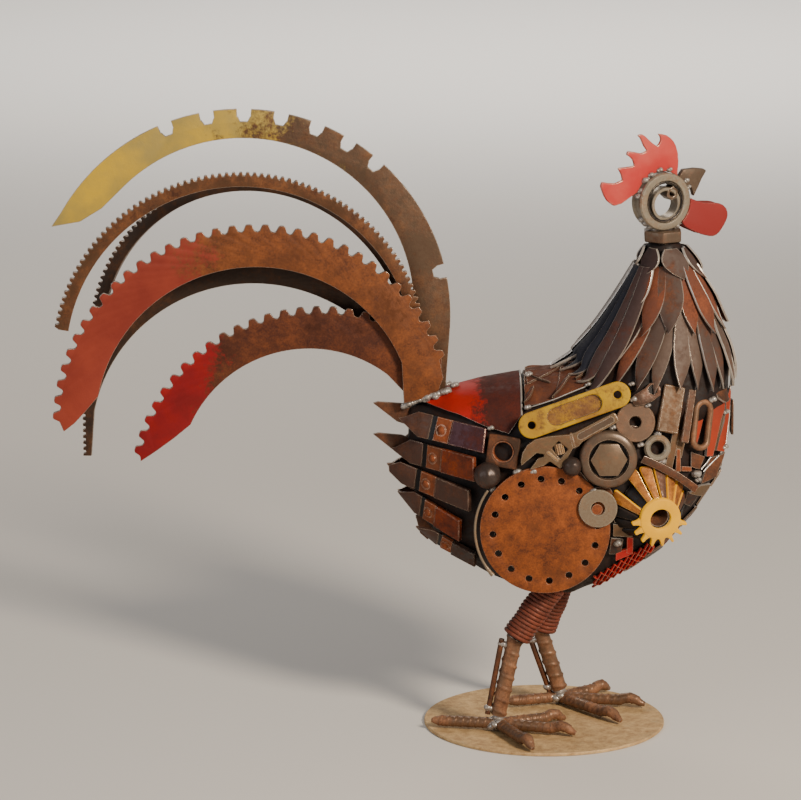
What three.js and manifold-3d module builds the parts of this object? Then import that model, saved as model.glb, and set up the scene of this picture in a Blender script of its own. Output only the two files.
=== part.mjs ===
// Welded scrap-metal rooster standing on a round steel base plate.
// Millimetres. Origin: centre of the base plate's underside. +X is the way the bird faces,
// +Y its left side, +Z up. The bird's mid-plane is Y = 0.
import * as THREE from "three";
import { mergeVertices } from "three/addons/utils/BufferGeometryUtils.js";
import Module from "manifold-3d";

// Driving dimensions
const GAP = 0.3; // clearance between pieces that touch
const SHEET = 2.5; // thickness of the bent sheets
const SADDLE_LIFT = 1.3; // the saddle's underside stands this far off the body
const PLATE = 5; // thickness of the tail plates

// Base plate
const BASE_RADIUS = 146;
const BASE_THICKNESS = 4;

// Feet: reinforcing-bar toes welded at one joint under each shank
const TOE_RADIUS = 7.2;
const TOE_SIDES = 5;
const TOE_LIFT = 1.5; // how far the toes' undersides stand off the plate
const TOE_KNUCKLE = { share: 0.72, rise: -0.6 }; // share of the toe's length, and height against its root
const TOE_ARCH = { share: 0.9, rise: 1.8 };
const TOE_TIP_RISE = -0.8;
const NEAR_FOOT = { x: -57, y: -51 };
const FAR_FOOT = { x: 21, y: 62 };
const NEAR_TOES = [
  { angle: -67, length: 101 },
  { angle: -17.5, length: 98 },
  { angle: 22, length: 90 },
  { angle: 171, length: 83 },
];
const FAR_TOES = [
  { angle: -52, length: 117 },
  { angle: -11, length: 108 },
  { angle: 38, length: 83 },
  { angle: 197, length: 70 },
];

// Legs: a twisted bar with a thin rod beside it, and a close-wound spring as the thigh
const SHANK_RADIUS = 10.5;
const SHANK_RIB = 1.3; // how deep the twisted grooves are
const SHANK_TWIST_PITCH = 62; // length of one full turn of the ribs
const SHANK_STEPS = 8;
const SHANK_SIDES = 8;
const ROD_RADIUS = 4;
const SPRING_RADIUS = 18;
const SPRING_WIRE = 3.6;
const SPRING_COIL = 8; // rise of one turn
const NEAR_KNEE = { x: -38, y: -54, z: 119 };
const NEAR_HIP = { x: 6, y: -50, z: 184 };
const FAR_KNEE = { x: -3, y: 55, z: 99 };
const FAR_HIP = { x: 26, y: 50, z: 176 };
const ROD_OFFSET = 15; // how far behind the shank the thin rod stands
const ROD_FOOT_OFFSET = 12; // the same at the rod's foot
const SPRING_SIDES = 7;

// Body: upright sections of a rounded form along X
const BODY_POWER = 2.4; // 2 is an ellipse, more is boxier
const BODY_WIDEST = 325; // height of the widest place
const BODY_SIDES = 20;
const TRUNK = [
  { x: -165, top: 393, bottom: 304, half: 12 },
  { x: -143, top: 402, bottom: 250, half: 33 },
  { x: -113, top: 414, bottom: 216, half: 57 },
  { x: -77, top: 423, bottom: 194, half: 75 },
  { x: -41, top: 429, bottom: 176, half: 86 },
  { x: -5, top: 434, bottom: 167, half: 91 },
  { x: 31, top: 441, bottom: 165, half: 92 },
  { x: 67, top: 450, bottom: 180, half: 90 },
  { x: 103, top: 458, bottom: 201, half: 85 },
  { x: 139, top: 460, bottom: 227, half: 76 },
  { x: 175, top: 452, bottom: 271, half: 62 },
  { x: 204, top: 430, bottom: 318, half: 42 },
  { x: 218, top: 400, bottom: 358, half: 18 },
];

// Neck: level sections, from the body up to the collar
const NECK_POWER = 2.1;
const NECK_SIDES = 14;
const NECK = [
  { z: 360, back: 66, front: 196, half: 60 },
  { z: 400, back: 26, front: 217, half: 82 },
  { z: 440, back: 38, front: 219, half: 73 },
  { z: 468, back: 57, front: 213, half: 62 },
  { z: 500, back: 85, front: 199, half: 50 },
  { z: 534, back: 101, front: 188, half: 38 },
  { z: 568, back: 114, front: 170, half: 26 },
  { z: 594, back: 119, front: 157, half: 18 },
];

// Cape: rows of leaf-shaped plates round the neck
const LEAF_THICKNESS = 3;
const LEAF_SEAT = 2.2; // a leaf's root stands this far off what is under it
const LEAF_RIDGE = 2.2; // how far a leaf's middle stands out from its edges
const LEAF_NOTCH = 0.5; // share of a leaf's length where it is parted from its neighbours
const CAPE_ROWS = [
  { name: "cape_top_leaves", leaves: 12, root: 588, tipBack: 556, tipFront: 546, tipLift: 14 },
  { name: "cape_middle_leaves", leaves: 16, root: 566, tipBack: 508, tipFront: 482, tipLift: 16.5 },
  { name: "cape_lower_leaves", leaves: 21, root: 522, tipBack: 464, tipFront: 415, tipLift: 4, bend: 0.5 },
];

// Head
const HEAD_TURN = 28; // degrees, turned to the bird's left
const HEAD_AXIS_X = 138;
const EYE = { x: -5, radius: 34.5, inner: 25, depth: 24 };
// lean: the direction in which the tube rests against the ring
const EYE_TUBE = { radius: 20, wall: 4, depth: 17, lean: -53 };
const PUPIL = { radius: 8.5, x: 11, z: 9 };
const COLLAR = { radius: 25, height: 13.2, shift: 3 };
const EYE_Z = NECK[NECK.length - 1].z + COLLAR.height + GAP * 2 + EYE.radius; // the ring rests on the collar
const WATTLE_SPREAD = 8;
// The ring round which the outlines below are drawn; they grow with the eye
const OUTLINE_RING = { x: -5, z: 642.3, radius: 34.5 };
const COMB = [
  [18, 688], [14, 707], [6, 717], [-5, 722], [-11, 723], [-7, 717], [-9, 711], [-12, 708], [-24, 717],
  [-34, 724], [-39, 723], [-33, 715], [-26, 704], [-34, 701], [-52, 705], [-54, 701], [-46, 695], [-43, 687],
  [-63, 686], [-66, 685], [-61, 678], [-59, 671], [-69, 668], [-87, 671], [-87, 661], [-80, 648], [-70, 641],
  [-60, 643],
];
const BEAK = [[34, 660], [39, 645], [49, 664], [55, 674], [52, 677], [24, 678]];
const WATTLE = [
  [20, 614], [31, 606], [47, 599], [58, 596], [68, 597], [76, 605], [82, 615], [83, 623], [77, 632],
  [65, 636], [50, 637], [33, 643],
];
const BEAK_THICKNESS = 7;
const HEAD_PLATE = 4;

// Tail plates: arcs in upright planes, each turned out a little about its root
const TAIL_ROOT_X = -112;
const ROOT_DEPTH = 1; // how far above the saddle's clearance the sickle's foot ends
const SICKLE = {
  x: -363, z: 504, outer: 248, width: 46, innerShiftX: 2, innerShiftZ: 11,
  from: -4, innerFrom: -12, innerTo: 136, rootFront: -121, rootBack: -160,
};
// Tips are pairs: the angle, and how far inside the outer edge
const SICKLE_TIP = [[149.5, 25.2], [142.1, 37.8]];
const SICKLE_POINT = { angle: 154.7, reach: 2 };
const SICKLE_NOTCHES = [111.5, 99.6, 89.2, 78.8, 68.4, 58.6, 49, 12.6];
const SICKLE_NOTCH_WIDTH = 17;
const SICKLE_NOTCH_DEPTH = 15;
const RING = { width: 17, depth: 9, tooth: 4.5 };
const RING_NEAR = { x: -366, z: 457, outer: 223, from: 15, to: 170, teeth: 48, splay: 4.4, rootX: -150 };
const RING_FAR = { x: -357, z: 453, outer: 209, from: 15, to: 168, teeth: 34, splay: -14, rootX: -155 };
const GEAR_NEAR = {
  x: -349, z: 379, outer: 240, width: 51, tooth: 9, from: 13, to: 179, toothPitch: 4.75,
  innerFrom: 22, innerTo: 169, splay: 4.6, rootY: 8, rootFront: -132, rootBack: -152, heel: 19,
  tip: [[175.2, 37.3], [178.9, 26], [181.5, 12.9]],
};
const GEAR_FAR = {
  x: -349, z: 339, outer: 232, width: 32, tooth: 7, from: 22, to: 168, toothPitch: 4.6, innerFrom: 30,
  splay: -3.4, rootY: 2, rootFront: -136, rootBack: -156, heel: 4, tipDrop: 14, tipWidth: 10, tipTop: 38,
};
const GEAR_LOW = {
  x: -272, z: 289, outer: 228, width: 74, tooth: 9, from: 56, to: 168, toothPitch: 5,
  innerFrom: 52, innerTo: 156, innerShiftX: -13, innerShiftZ: 23, plainFrom: 52, plainTo: 48,
  splay: 2.2, rootY: 2, rootFront: -128, rootBack: -156, heel: 4,
  tip: [[158.4, 40.8], [164.9, 25], [169.2, 10.1]],
};
const GEAR_THICKNESS = 6;

// Sickle-bar blades on the rump
const BLADE = { tooth: 4, block: 6.5, height: 25, toothLength: 30, tip: 2, lift: 1.2, wrap: 1.13 };
// Shares of a blade's length: the tooth's end, the block and its start, and the place that is seated
const BLADE_SHARES = { toothEnd: 0.36, block: 0.62, blockStart: 0.355, seat: 0.62, slide: 0.38 };
const TOOTH_SHOULDER = 0.7; // share of the tooth's length at which its upper edge turns level
const BLADE_ROWS = [
  { tipX: -175, tipZ: 387, endX: -69, endZ: 362 },
  { tipX: -192, tipZ: 340, endX: -75, endZ: 331 },
  { tipX: -202, tipZ: 311, endX: -80, endZ: 298 },
  { tipX: -185, tipZ: 274, endX: -92, endZ: 263 },
  { tipX: -156, tipZ: 236, endX: -79, endZ: 226 },
];
const REAR_TEETH = [
  { tipX: -208, tipZ: 397, rootX: -164, rootZ: 374 },
  { tipX: -208, tipZ: 359, rootX: -164, rootZ: 338 },
  { tipX: -192, tipZ: 323, rootX: -158, rootZ: 301 },
  { tipX: -162, tipZ: 262, rootX: -141, rootZ: 240 },
];
const REAR_TOOTH = { width: 26, thickness: 4, root: 12, shoulder: 0.8 };

// Scrap on the flanks. stand: how far a piece's middle is off the skin; straight: 0 follows the skin,
// 1 faces straight out; spin: degrees round its own axis
const DISC = { x: -4, z: 264, radius: 77, thickness: 5, stand: 1.3 };
const DISC_HOLES = { count: 16, radius: 4, pitchRadius: 62, first: 95 };
const EDGE_ROD = { radius: 2.8, clearance: 3, from: 145, to: 222 };
const SQUARE_PLATE = { x: -53, z: 356, side: 38, thickness: 6, hole: 13, stand: 5, spin: -7 };
const BALL_LARGE = { x: -70, z: 329, radius: 16, stand: 14 };
const BALL_SMALL = { x: 27, z: 342, radius: 11.5, stand: 10 };
const LINK = {
  x: 30, z: 405, span: 107, radius: 15.6, hole: 4.5, thickness: 5, stand: 18, straight: 0.7, spin: 20,
};
const WRENCH = {
  x: 6, z: 360, handle: 84, width: 17, taper: 2, thickness: 9, stand: 7, straight: 0.6, spin: 29,
};
const BIG_NUT = { x: 69, z: 350, radius: 34, inner: 24, thickness: 14, stand: 9 };
const BOLT_HEAD = { radius: 22, thickness: 8, stand: 11 };
const DISC_WASHER = { x: 58, z: 291, radius: 23, hole: 8, thickness: 4 };
const WASHER = { x: 101, z: 391, radius: 23.5, hole: 7, thickness: 5, stand: 8 };
const RING_WASHER = { x: 127, z: 360.5, radius: 16, hole: 8.4, thickness: 9, stand: 6.5 };
const STRAP = { x: 140, z: 328, length: 78, width: 10, thickness: 4, stand: 10, spin: -31 };
const BEVEL = {
  x: 118, z: 294, outer: 41, shoulder: 39.8, inner: 22, bore: 12, depth: 24, teeth: 16, stand: 0.6,
  straight: 0, outerNotch: 9, shoulderNotch: 8, innerNotch: 3, shoulderHeight: 8.4, slipX: 8, slipY: -13,
};
const CHAIN = { x: 176, z: 383, length: 62, width: 28, wire: 3.8, stand: 10.5, straight: 0.05, spin: 78 };
const GREY_BAR = { x: 143, z: 403, length: 56, width: 27, thickness: 9, stand: 12, straight: 0.15, spin: 76 };
const RED_BARS = [
  { name: "red_breast_bar_1", x: 197, z: 386, length: 66, width: 11, thickness: 5, spin: 80 },
  { name: "red_breast_bar_2", x: 208, z: 378, length: 50, width: 8, thickness: 5, spin: 84 },
];
const RED_BAR_SEAT = { stand: 6, straight: 0 };
const MESH_STRIP = { fromX: 60, fromZ: 190, toX: 122, toZ: 231, width: 16, thickness: 2.4, stand: 1.3 };
const FAR_GEAR = { x: 108, z: 330, radius: 40, bore: 10, thickness: 9, teeth: 14, tooth: 7, stand: 5.4 };

const wasm = await Module();
wasm.setup();
const rad = THREE.MathUtils.degToRad;
const rooster = new THREE.Group();

// Finishes
function finish(color, roughness, metalness) {
  return new THREE.MeshStandardMaterial({ color, roughness, metalness });
}
const rust = () => finish(0x6b3a22, 0.75, 0.6);
const darkSteel = () => finish(0x2f2a2b, 0.5, 0.85);
const copperRust = () => finish(0x8a5538, 0.5, 0.8);
const redPaint = () => finish(0x8e1f1b, 0.45, 0.3);
const yellowPaint = () => finish(0xb79a2c, 0.5, 0.3);
const greySteel = () => finish(0x6f6a5f, 0.45, 0.85);

function addPiece(name, geometry, material) {
  const mesh = new THREE.Mesh(geometry, material);
  mesh.name = name;
  rooster.add(mesh);
  return mesh;
}

// Joining and cutting
function solidOf(geometry) {
  const bare = geometry.index ? geometry.toNonIndexed() : geometry.clone();
  bare.deleteAttribute("normal");
  bare.deleteAttribute("uv");
  const merged = mergeVertices(bare, 1e-4);
  const vertProperties = new Float32Array(merged.attributes.position.array);
  const triVerts = new Uint32Array(merged.index.array);
  return new wasm.Manifold(new wasm.Mesh({ numProp: 3, vertProperties, triVerts }));
}

function geometryOf(solid) {
  const mesh = solid.getMesh();
  const geometry = new THREE.BufferGeometry();
  geometry.setAttribute("position", new THREE.Float32BufferAttribute(Array.from(mesh.vertProperties), 3));
  geometry.setIndex(Array.from(mesh.triVerts));
  return geometry;
}

function join(...geometries) {
  const solids = geometries.map(solidOf);
  return geometryOf(solids.reduce((whole, next) => whole.add(next)));
}

function cut(geometry, ...tools) {
  return geometryOf(tools.map(solidOf).reduce((whole, tool) => whole.subtract(tool), solidOf(geometry)));
}

// A closed skin over rings of points: every ring has as many points, the ends are capped flat
function loft(rings) {
  const count = rings[0].length;
  const points = rings.flat();
  const index = [];
  for (let i = 0; i + 1 < rings.length; i += 1) {
    for (let j = 0; j < count; j += 1) {
      const a = i * count + j;
      const b = i * count + ((j + 1) % count);
      index.push(a, b, b + count, a, b + count, a + count);
    }
  }
  const last = (rings.length - 1) * count;
  for (let j = 1; j + 1 < count; j += 1) {
    index.push(0, j + 1, j);
    index.push(last, last + j, last + j + 1);
  }
  const geometry = new THREE.BufferGeometry().setFromPoints(points);
  geometry.setIndex(index);
  return geometry;
}

// A flat plate cut to an outline, its thickness centred on its own plane
function plate(shape, thickness, curveSegments = 12) {
  const geometry = new THREE.ExtrudeGeometry(shape, { depth: thickness, bevelEnabled: false, curveSegments });
  geometry.translate(0, 0, -thickness / 2);
  return geometry;
}

function shapeOf(points) {
  return new THREE.Shape(points.map(([x, y]) => new THREE.Vector2(x, y)));
}

function roundHole(x, y, radius, sides = 8) {
  const hole = new THREE.Path();
  for (let i = 0; i < sides; i += 1) {
    const angle = (-2 * Math.PI * i) / sides;
    const at = [x + radius * Math.cos(angle), y + radius * Math.sin(angle)];
    if (i === 0) {
      hole.moveTo(...at);
    } else {
      hole.lineTo(...at);
    }
  }
  hole.closePath();
  return hole;
}

function circlePoints(radius, sides, turn = 0) {
  const points = [];
  for (let i = 0; i < sides; i += 1) {
    const angle = turn + (2 * Math.PI * i) / sides;
    points.push([radius * Math.cos(angle), radius * Math.sin(angle)]);
  }
  return points;
}

function arcPoints(x, z, radius, from, to, steps) {
  const points = [];
  for (let i = 0; i <= steps; i += 1) {
    const angle = rad(from + ((to - from) * i) / steps);
    points.push([x + radius * Math.cos(angle), z + radius * Math.sin(angle)]);
  }
  return points;
}

// A round or ribbed bar along a straight line or a curve
function bar(points, section) {
  const path = points.length > 2 ? new THREE.CatmullRomCurve3(points) : new THREE.LineCurve3(...points);
  const steps = points.length > 2 ? points.length : 1;
  return new THREE.ExtrudeGeometry(section, { steps, bevelEnabled: false, extrudePath: path });
}

const polar = (x, z, radius, angle) => [x + radius * Math.cos(rad(angle)), z + radius * Math.sin(rad(angle))];
const vec = (x, y, z) => new THREE.Vector3(x, y, z);
const mix = (a, b, t) => a + (b - a) * t;

// Where a value falls between named stations
function between(stations, key, value) {
  const last = stations.length - 2;
  let i = 0;
  while (i < last && value > stations[i + 1][key]) {
    i += 1;
  }
  const a = stations[i];
  const b = stations[i + 1];
  const t = THREE.MathUtils.clamp((value - a[key]) / (b[key] - a[key]), 0, 1);
  return Object.fromEntries(Object.keys(a).map((name) => [name, mix(a[name], b[name], t)]));
}

const signedPower = (value, power) => Math.sign(value) * Math.abs(value) ** power;

// A point of the trunk: angle 0 is the near side, 90 the ridge of the back, 270 the belly
function trunkPoint(station, angle) {
  const across = signedPower(Math.cos(rad(angle)), 2 / BODY_POWER);
  const up = signedPower(Math.sin(rad(angle)), 2 / BODY_POWER);
  const rise = up > 0 ? station.top - BODY_WIDEST : BODY_WIDEST - station.bottom;
  const middle = THREE.MathUtils.clamp(BODY_WIDEST, station.bottom, station.top);
  return vec(station.x, -station.half * across, middle + rise * up);
}

function trunkSkin(x, angle, lift) {
  const step = 2;
  const at = (place, turn) => trunkPoint(between(TRUNK, "x", place), turn);
  const along = at(x + step, angle).sub(at(x - step, angle));
  const round = at(x, angle + step).sub(at(x, angle - step));
  return at(x, angle).addScaledVector(along.cross(round).normalize(), lift);
}

// The angle at which the trunk's skin reaches a height
function trunkAngle(x, z) {
  const station = between(TRUNK, "x", x);
  const rise = z > BODY_WIDEST ? station.top - BODY_WIDEST : BODY_WIDEST - station.bottom;
  const share = THREE.MathUtils.clamp((z - BODY_WIDEST) / rise, -1, 1);
  return THREE.MathUtils.radToDeg(Math.asin(signedPower(share, BODY_POWER / 2)));
}

// The place and the outward direction on the near flank at a given X and height
function flankSpot(x, z) {
  const angle = trunkAngle(x, z);
  const point = trunkSkin(x, angle, 0);
  const normal = trunkSkin(x, angle, 1).sub(point).normalize();
  return { point, normal };
}

// Puts a piece that is modelled flat, its plane XY and its outer face +Z, on the near flank
function onFlank(name, geometry, material, spot) {
  const { point, normal } = flankSpot(spot.x, spot.z);
  const facing = normal.lerp(vec(0, -1, 0), spot.straight ?? 0.45).normalize();
  const right = vec(0, 0, 1).cross(facing).normalize();
  const up = facing.clone().cross(right);
  const turned = new THREE.Matrix4().makeBasis(right, up, facing);
  const mesh = addPiece(name, geometry, material);
  mesh.quaternion.setFromRotationMatrix(turned);
  mesh.rotateZ(rad(spot.spin ?? 0));
  mesh.position.copy(point).addScaledVector(facing, spot.stand);
  return mesh;
}

// Bakes a placed piece and cuts it back from the body
function clearOfBody(mesh, skin) {
  mesh.updateMatrixWorld();
  mesh.userData.frame = mesh.matrixWorld.clone();
  const geometry = mesh.geometry.clone().applyMatrix4(mesh.matrixWorld);
  mesh.geometry = cut(geometry, skin);
  mesh.position.set(0, 0, 0);
  mesh.quaternion.identity();
}

// A copy of a placed piece, grown by the clearance along its own length, width and thickness
function grown(name) {
  const mesh = rooster.getObjectByName(name);
  mesh.updateMatrixWorld();
  const frame = mesh.userData.frame ?? mesh.matrixWorld;
  const tool = mesh.geometry.clone().applyMatrix4(mesh.matrixWorld).applyMatrix4(frame.clone().invert());
  tool.computeBoundingBox();
  const middle = tool.boundingBox.getCenter(vec(0, 0, 0));
  const size = tool.boundingBox.getSize(vec(0, 0, 0));
  tool.translate(-middle.x, -middle.y, -middle.z);
  tool.scale(...size.toArray().map((extent) => 1 + (2 * GAP) / extent));
  return tool.translate(middle.x, middle.y, middle.z).applyMatrix4(frame);
}

// Cuts a piece back from its neighbours
function trim(name, ...neighbours) {
  const target = rooster.getObjectByName(name);
  target.geometry = cut(target.geometry, ...neighbours.map(grown));
}

function mirrored(geometry) {
  const flipped = geometry.clone().scale(1, -1, 1);
  const solid = flipped.index ? flipped.toNonIndexed() : flipped;
  const p = solid.attributes.position.array;
  for (let i = 0; i < p.length; i += 9) {
    for (let k = 0; k < 3; k += 1) {
      [p[i + 3 + k], p[i + 6 + k]] = [p[i + 6 + k], p[i + 3 + k]];
    }
  }
  return solid;
}

// Base plate
function makeBase() {
  const rim = 0.8;
  const profile = [
    new THREE.Vector2(0, 0),
    new THREE.Vector2(BASE_RADIUS, 0),
    new THREE.Vector2(BASE_RADIUS, BASE_THICKNESS - rim),
    new THREE.Vector2(BASE_RADIUS - rim, BASE_THICKNESS),
    new THREE.Vector2(0, BASE_THICKNESS),
  ];
  const base = new THREE.LatheGeometry(profile, 32).rotateX(Math.PI / 2);
  addPiece("base_plate", base, finish(0x7d5636, 0.85, 0.4));
}

// One foot: four toes that meet at a weld
function makeFoot(name, foot, toes) {
  const bars = toes.map(({ angle, length }) => {
    const way = vec(Math.cos(rad(angle)), Math.sin(rad(angle)), 0);
    const start = vec(foot.x, foot.y, BASE_THICKNESS + GAP + TOE_RADIUS + TOE_LIFT);
    const at = (reach, rise) => start.clone().addScaledVector(way, reach).setZ(start.z + rise);
    const knuckle = at(length * TOE_KNUCKLE.share, TOE_KNUCKLE.rise);
    const arch = at(length * TOE_ARCH.share, TOE_ARCH.rise);
    const tip = at(length - TOE_RADIUS, TOE_TIP_RISE);
    return bar([start, knuckle, arch, tip], shapeOf(circlePoints(TOE_RADIUS, TOE_SIDES)));
  });
  const weldRadius = TOE_RADIUS * 1.5;
  const weld = new THREE.SphereGeometry(weldRadius, 7, 4);
  weld.rotateX(Math.PI / 2);
  weld.translate(foot.x, foot.y, BASE_THICKNESS + GAP + weldRadius);
  addPiece(name, join(weld, ...bars), copperRust());
}

const hipWay = (knee, hip) => vec(hip.x - knee.x, hip.y - knee.y, hip.z - knee.z).normalize();

// A shank: a twisted bar from the foot's weld to the knee, with the thin rod behind it
function makeShank(name, foot, knee, hip) {
  const bottom = vec(foot.x, foot.y, BASE_THICKNESS + TOE_RADIUS * 3 + GAP * 2);
  const top = vec(knee.x, knee.y, knee.z);
  const length = bottom.distanceTo(top);
  const rings = [];
  for (let i = 0; i <= SHANK_STEPS; i += 1) {
    const height = (length * i) / SHANK_STEPS;
    const turn = (2 * Math.PI * height) / SHANK_TWIST_PITCH;
    rings.push(
      circlePoints(1, SHANK_SIDES).map(([x, y], j) => {
        const radius = SHANK_RADIUS - (j % 2 ? SHANK_RIB * 2 : 0);
        const angle = Math.atan2(y, x) + turn;
        return vec(radius * Math.cos(angle), radius * Math.sin(angle), height);
      }),
    );
  }
  const twisted = loft(rings);
  const rodTop = vec(-ROD_OFFSET, 0, length - ROD_RADIUS);
  const rodFoot = vec(-ROD_FOOT_OFFSET, 0, ROD_RADIUS);
  const rung = (height) => bar([vec(-ROD_OFFSET, 0, height), vec(0, 0, height)], rodSection);
  const rodSection = shapeOf(circlePoints(ROD_RADIUS, 6));
  const rod = bar([rodFoot, rodTop], rodSection);
  const shank = join(twisted, rod, rung(ROD_RADIUS * 2), rung(length - ROD_RADIUS * 4));
  const lean = new THREE.Quaternion().setFromUnitVectors(vec(0, 0, 1), top.clone().sub(bottom).normalize());
  shank.applyQuaternion(lean);
  shank.translate(bottom.x, bottom.y, bottom.z);
  const thigh = new THREE.CylinderGeometry(SPRING_RADIUS * 2, SPRING_RADIUS * 2, SPRING_RADIUS * 2, 8);
  thigh.rotateX(Math.PI / 2).translate(0, 0, SPRING_RADIUS);
  thigh.applyQuaternion(new THREE.Quaternion().setFromUnitVectors(vec(0, 0, 1), hipWay(knee, hip)));
  thigh.translate(knee.x, knee.y, knee.z);
  addPiece(name, cut(shank, thigh), copperRust());
}

// A thigh: a close-wound coil spring, shown by one ridge for each turn of wire
function makeSpring(name, knee, hip, skin) {
  const bottom = vec(knee.x, knee.y, knee.z);
  const way = vec(hip.x, hip.y, hip.z).sub(bottom);
  const length = way.length();
  const turns = Math.round(length / SPRING_COIL);
  const pitch = length / turns;
  const profile = [new THREE.Vector2(0, GAP)];
  for (let i = 0; i < turns; i += 1) {
    profile.push(new THREE.Vector2(SPRING_RADIUS - SPRING_WIRE / 2, GAP + pitch * i));
    profile.push(new THREE.Vector2(SPRING_RADIUS, GAP + pitch * (i + 0.5)));
  }
  profile.push(new THREE.Vector2(SPRING_RADIUS - SPRING_WIRE / 2, GAP + length));
  profile.push(new THREE.Vector2(0, GAP + length));
  const spring = new THREE.LatheGeometry(profile, SPRING_SIDES).rotateX(Math.PI / 2);
  const lean = new THREE.Quaternion().setFromUnitVectors(vec(0, 0, 1), way.clone().normalize());
  spring.applyQuaternion(lean);
  spring.translate(bottom.x, bottom.y, bottom.z);
  addPiece(name, cut(spring, skin), finish(0x7a3b30, 0.5, 0.7));
}

// The body: the trunk and the neck as one rounded form; lift grows it for clearances
function bodyForm(lift) {
  const trunk = TRUNK.map((station) => {
    const ring = [];
    for (let j = 0; j < BODY_SIDES; j += 1) {
      const point = trunkPoint(station, (-360 * j) / BODY_SIDES);
      const middle = vec(station.x, 0, THREE.MathUtils.clamp(BODY_WIDEST, station.bottom, station.top));
      ring.push(point.addScaledVector(point.clone().sub(middle).normalize(), lift));
    }
    return ring;
  });
  trunk[0].forEach((point) => point.setX(point.x - lift));
  trunk[trunk.length - 1].forEach((point) => point.setX(point.x + lift));
  const neck = NECK.map(({ z }, i) => {
    const ring = [];
    for (let j = 0; j < NECK_SIDES; j += 1) {
      ring.push(neckSkin(z, (360 * j) / NECK_SIDES, lift).setZ(z + (i === NECK.length - 1 ? lift : 0)));
    }
    return ring;
  });
  return join(loft(trunk), loft(neck));
}

// A point of the neck: angle 0 is the front, 90 the far side
function neckSkin(z, angle, lift) {
  const { back, front, half } = between(NECK, "z", z);
  const along = signedPower(Math.cos(rad(angle)), 2 / NECK_POWER);
  const across = signedPower(Math.sin(rad(angle)), 2 / NECK_POWER);
  const reach = (front - back) / 2;
  return vec((front + back) / 2 + (reach + lift) * along, (half + lift) * across, z);
}

// A row of leaves round the neck, parted below their notches
function makeCapeRow(row, skin) {
  const columns = [
    { phase: -1, share: LEAF_NOTCH },
    { phase: -0.8, share: 0.86 },
    { phase: 0, share: 1 },
    { phase: 0.8, share: 0.86 },
  ];
  const outer = [];
  const inner = [];
  const levels = row.bend ? [0, row.bend, 1] : [0, 1];
  const { length } = levels;
  for (let leaf = 0; leaf < row.leaves; leaf += 1) {
    for (const { phase, share } of columns) {
      const angle = (360 * (leaf + phase / 2)) / row.leaves;
      const front = (1 + Math.cos(rad(angle))) / 2;
      const tip = mix(row.tipBack, row.tipFront, front);
      const ridge = LEAF_RIDGE * (1 - Math.abs(phase));
      for (const level of levels) {
        const z = mix(row.root, mix(row.root, tip, share), level);
        const lift = mix(LEAF_SEAT, row.tipLift, (row.root - z) / (row.root - tip));
        outer.push(neckSkin(z, angle, lift + ridge + LEAF_THICKNESS));
        inner.push(neckSkin(z, angle, lift));
      }
    }
  }
  const rings = row.leaves * columns.length;
  const ladder = [];
  for (let i = 0; i < rings; i += 1) {
    const at = i * length;
    ladder.push([...outer.slice(at, at + length), ...inner.slice(at, at + length).reverse()].reverse());
  }
  addPiece(row.name, cut(hoop(ladder), skin), finish(0x6a4433, 0.5, 0.75));
}

// Like loft, but the last ring joins the first and nothing is capped
function hoop(rings) {
  const count = rings[0].length;
  const index = [];
  for (let i = 0; i < rings.length; i += 1) {
    const next = ((i + 1) % rings.length) * count;
    for (let j = 0; j < count; j += 1) {
      const k = (j + 1) % count;
      index.push(i * count + j, next + k, i * count + k, i * count + j, next + j, next + k);
    }
  }
  const geometry = new THREE.BufferGeometry().setFromPoints(rings.flat());
  geometry.setIndex(index);
  return geometry;
}

// The smooth sheet over the rump, under the tail
function makeSaddle() {
  const outline = shapeOf([
    [-163, 384],
    [-140, 393],
    [-104, 389],
    [-69, 381],
    [-46, 376],
    [-32, 396],
    [-32, 480],
    [-163, 480],
  ]);
  const block = plate(outline, 2 * BASE_RADIUS).rotateX(Math.PI / 2);
  const sheet = cut(bodyForm(SADDLE_LIFT + SHEET), bodyForm(SADDLE_LIFT));
  return geometryOf(solidOf(sheet).intersect(solidOf(block)));
}

// Tail
function toothedArc({ x, z, outer, tooth, from, to, toothPitch }) {
  const points = [];
  const teeth = Math.floor((to - from) / toothPitch);
  for (let i = 0; i < teeth; i += 1) {
    const start = to - i * toothPitch;
    for (const [share, radius] of [[0, outer - tooth], [0.28, outer], [0.62, outer]]) {
      points.push(polar(x, z, radius, start - share * toothPitch));
    }
  }
  return points;
}

// Stands a plate with outline in (X, Z) upright at a given Y, turned out about its root
function standUpright(name, shape, thickness, y, splay, material, rootX = TAIL_ROOT_X) {
  const geometry = plate(shape, thickness, 24).rotateX(Math.PI / 2);
  geometry.translate(-rootX, 0, 0);
  const mesh = addPiece(name, geometry, material);
  mesh.rotation.z = rad(splay);
  mesh.position.set(rootX, y, 0);
}

// The height of the saddle's top at a place on the rump, with the clearance of what stands on it
function saddleRise(x, y = 0) {
  const { top, half } = between(TRUNK, "x", x);
  const share = (1 - Math.abs(y / half) ** BODY_POWER) ** (1 / BODY_POWER);
  return BODY_WIDEST + (top - BODY_WIDEST) * share + SADDLE_LIFT + SHEET + GAP;
}

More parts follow.
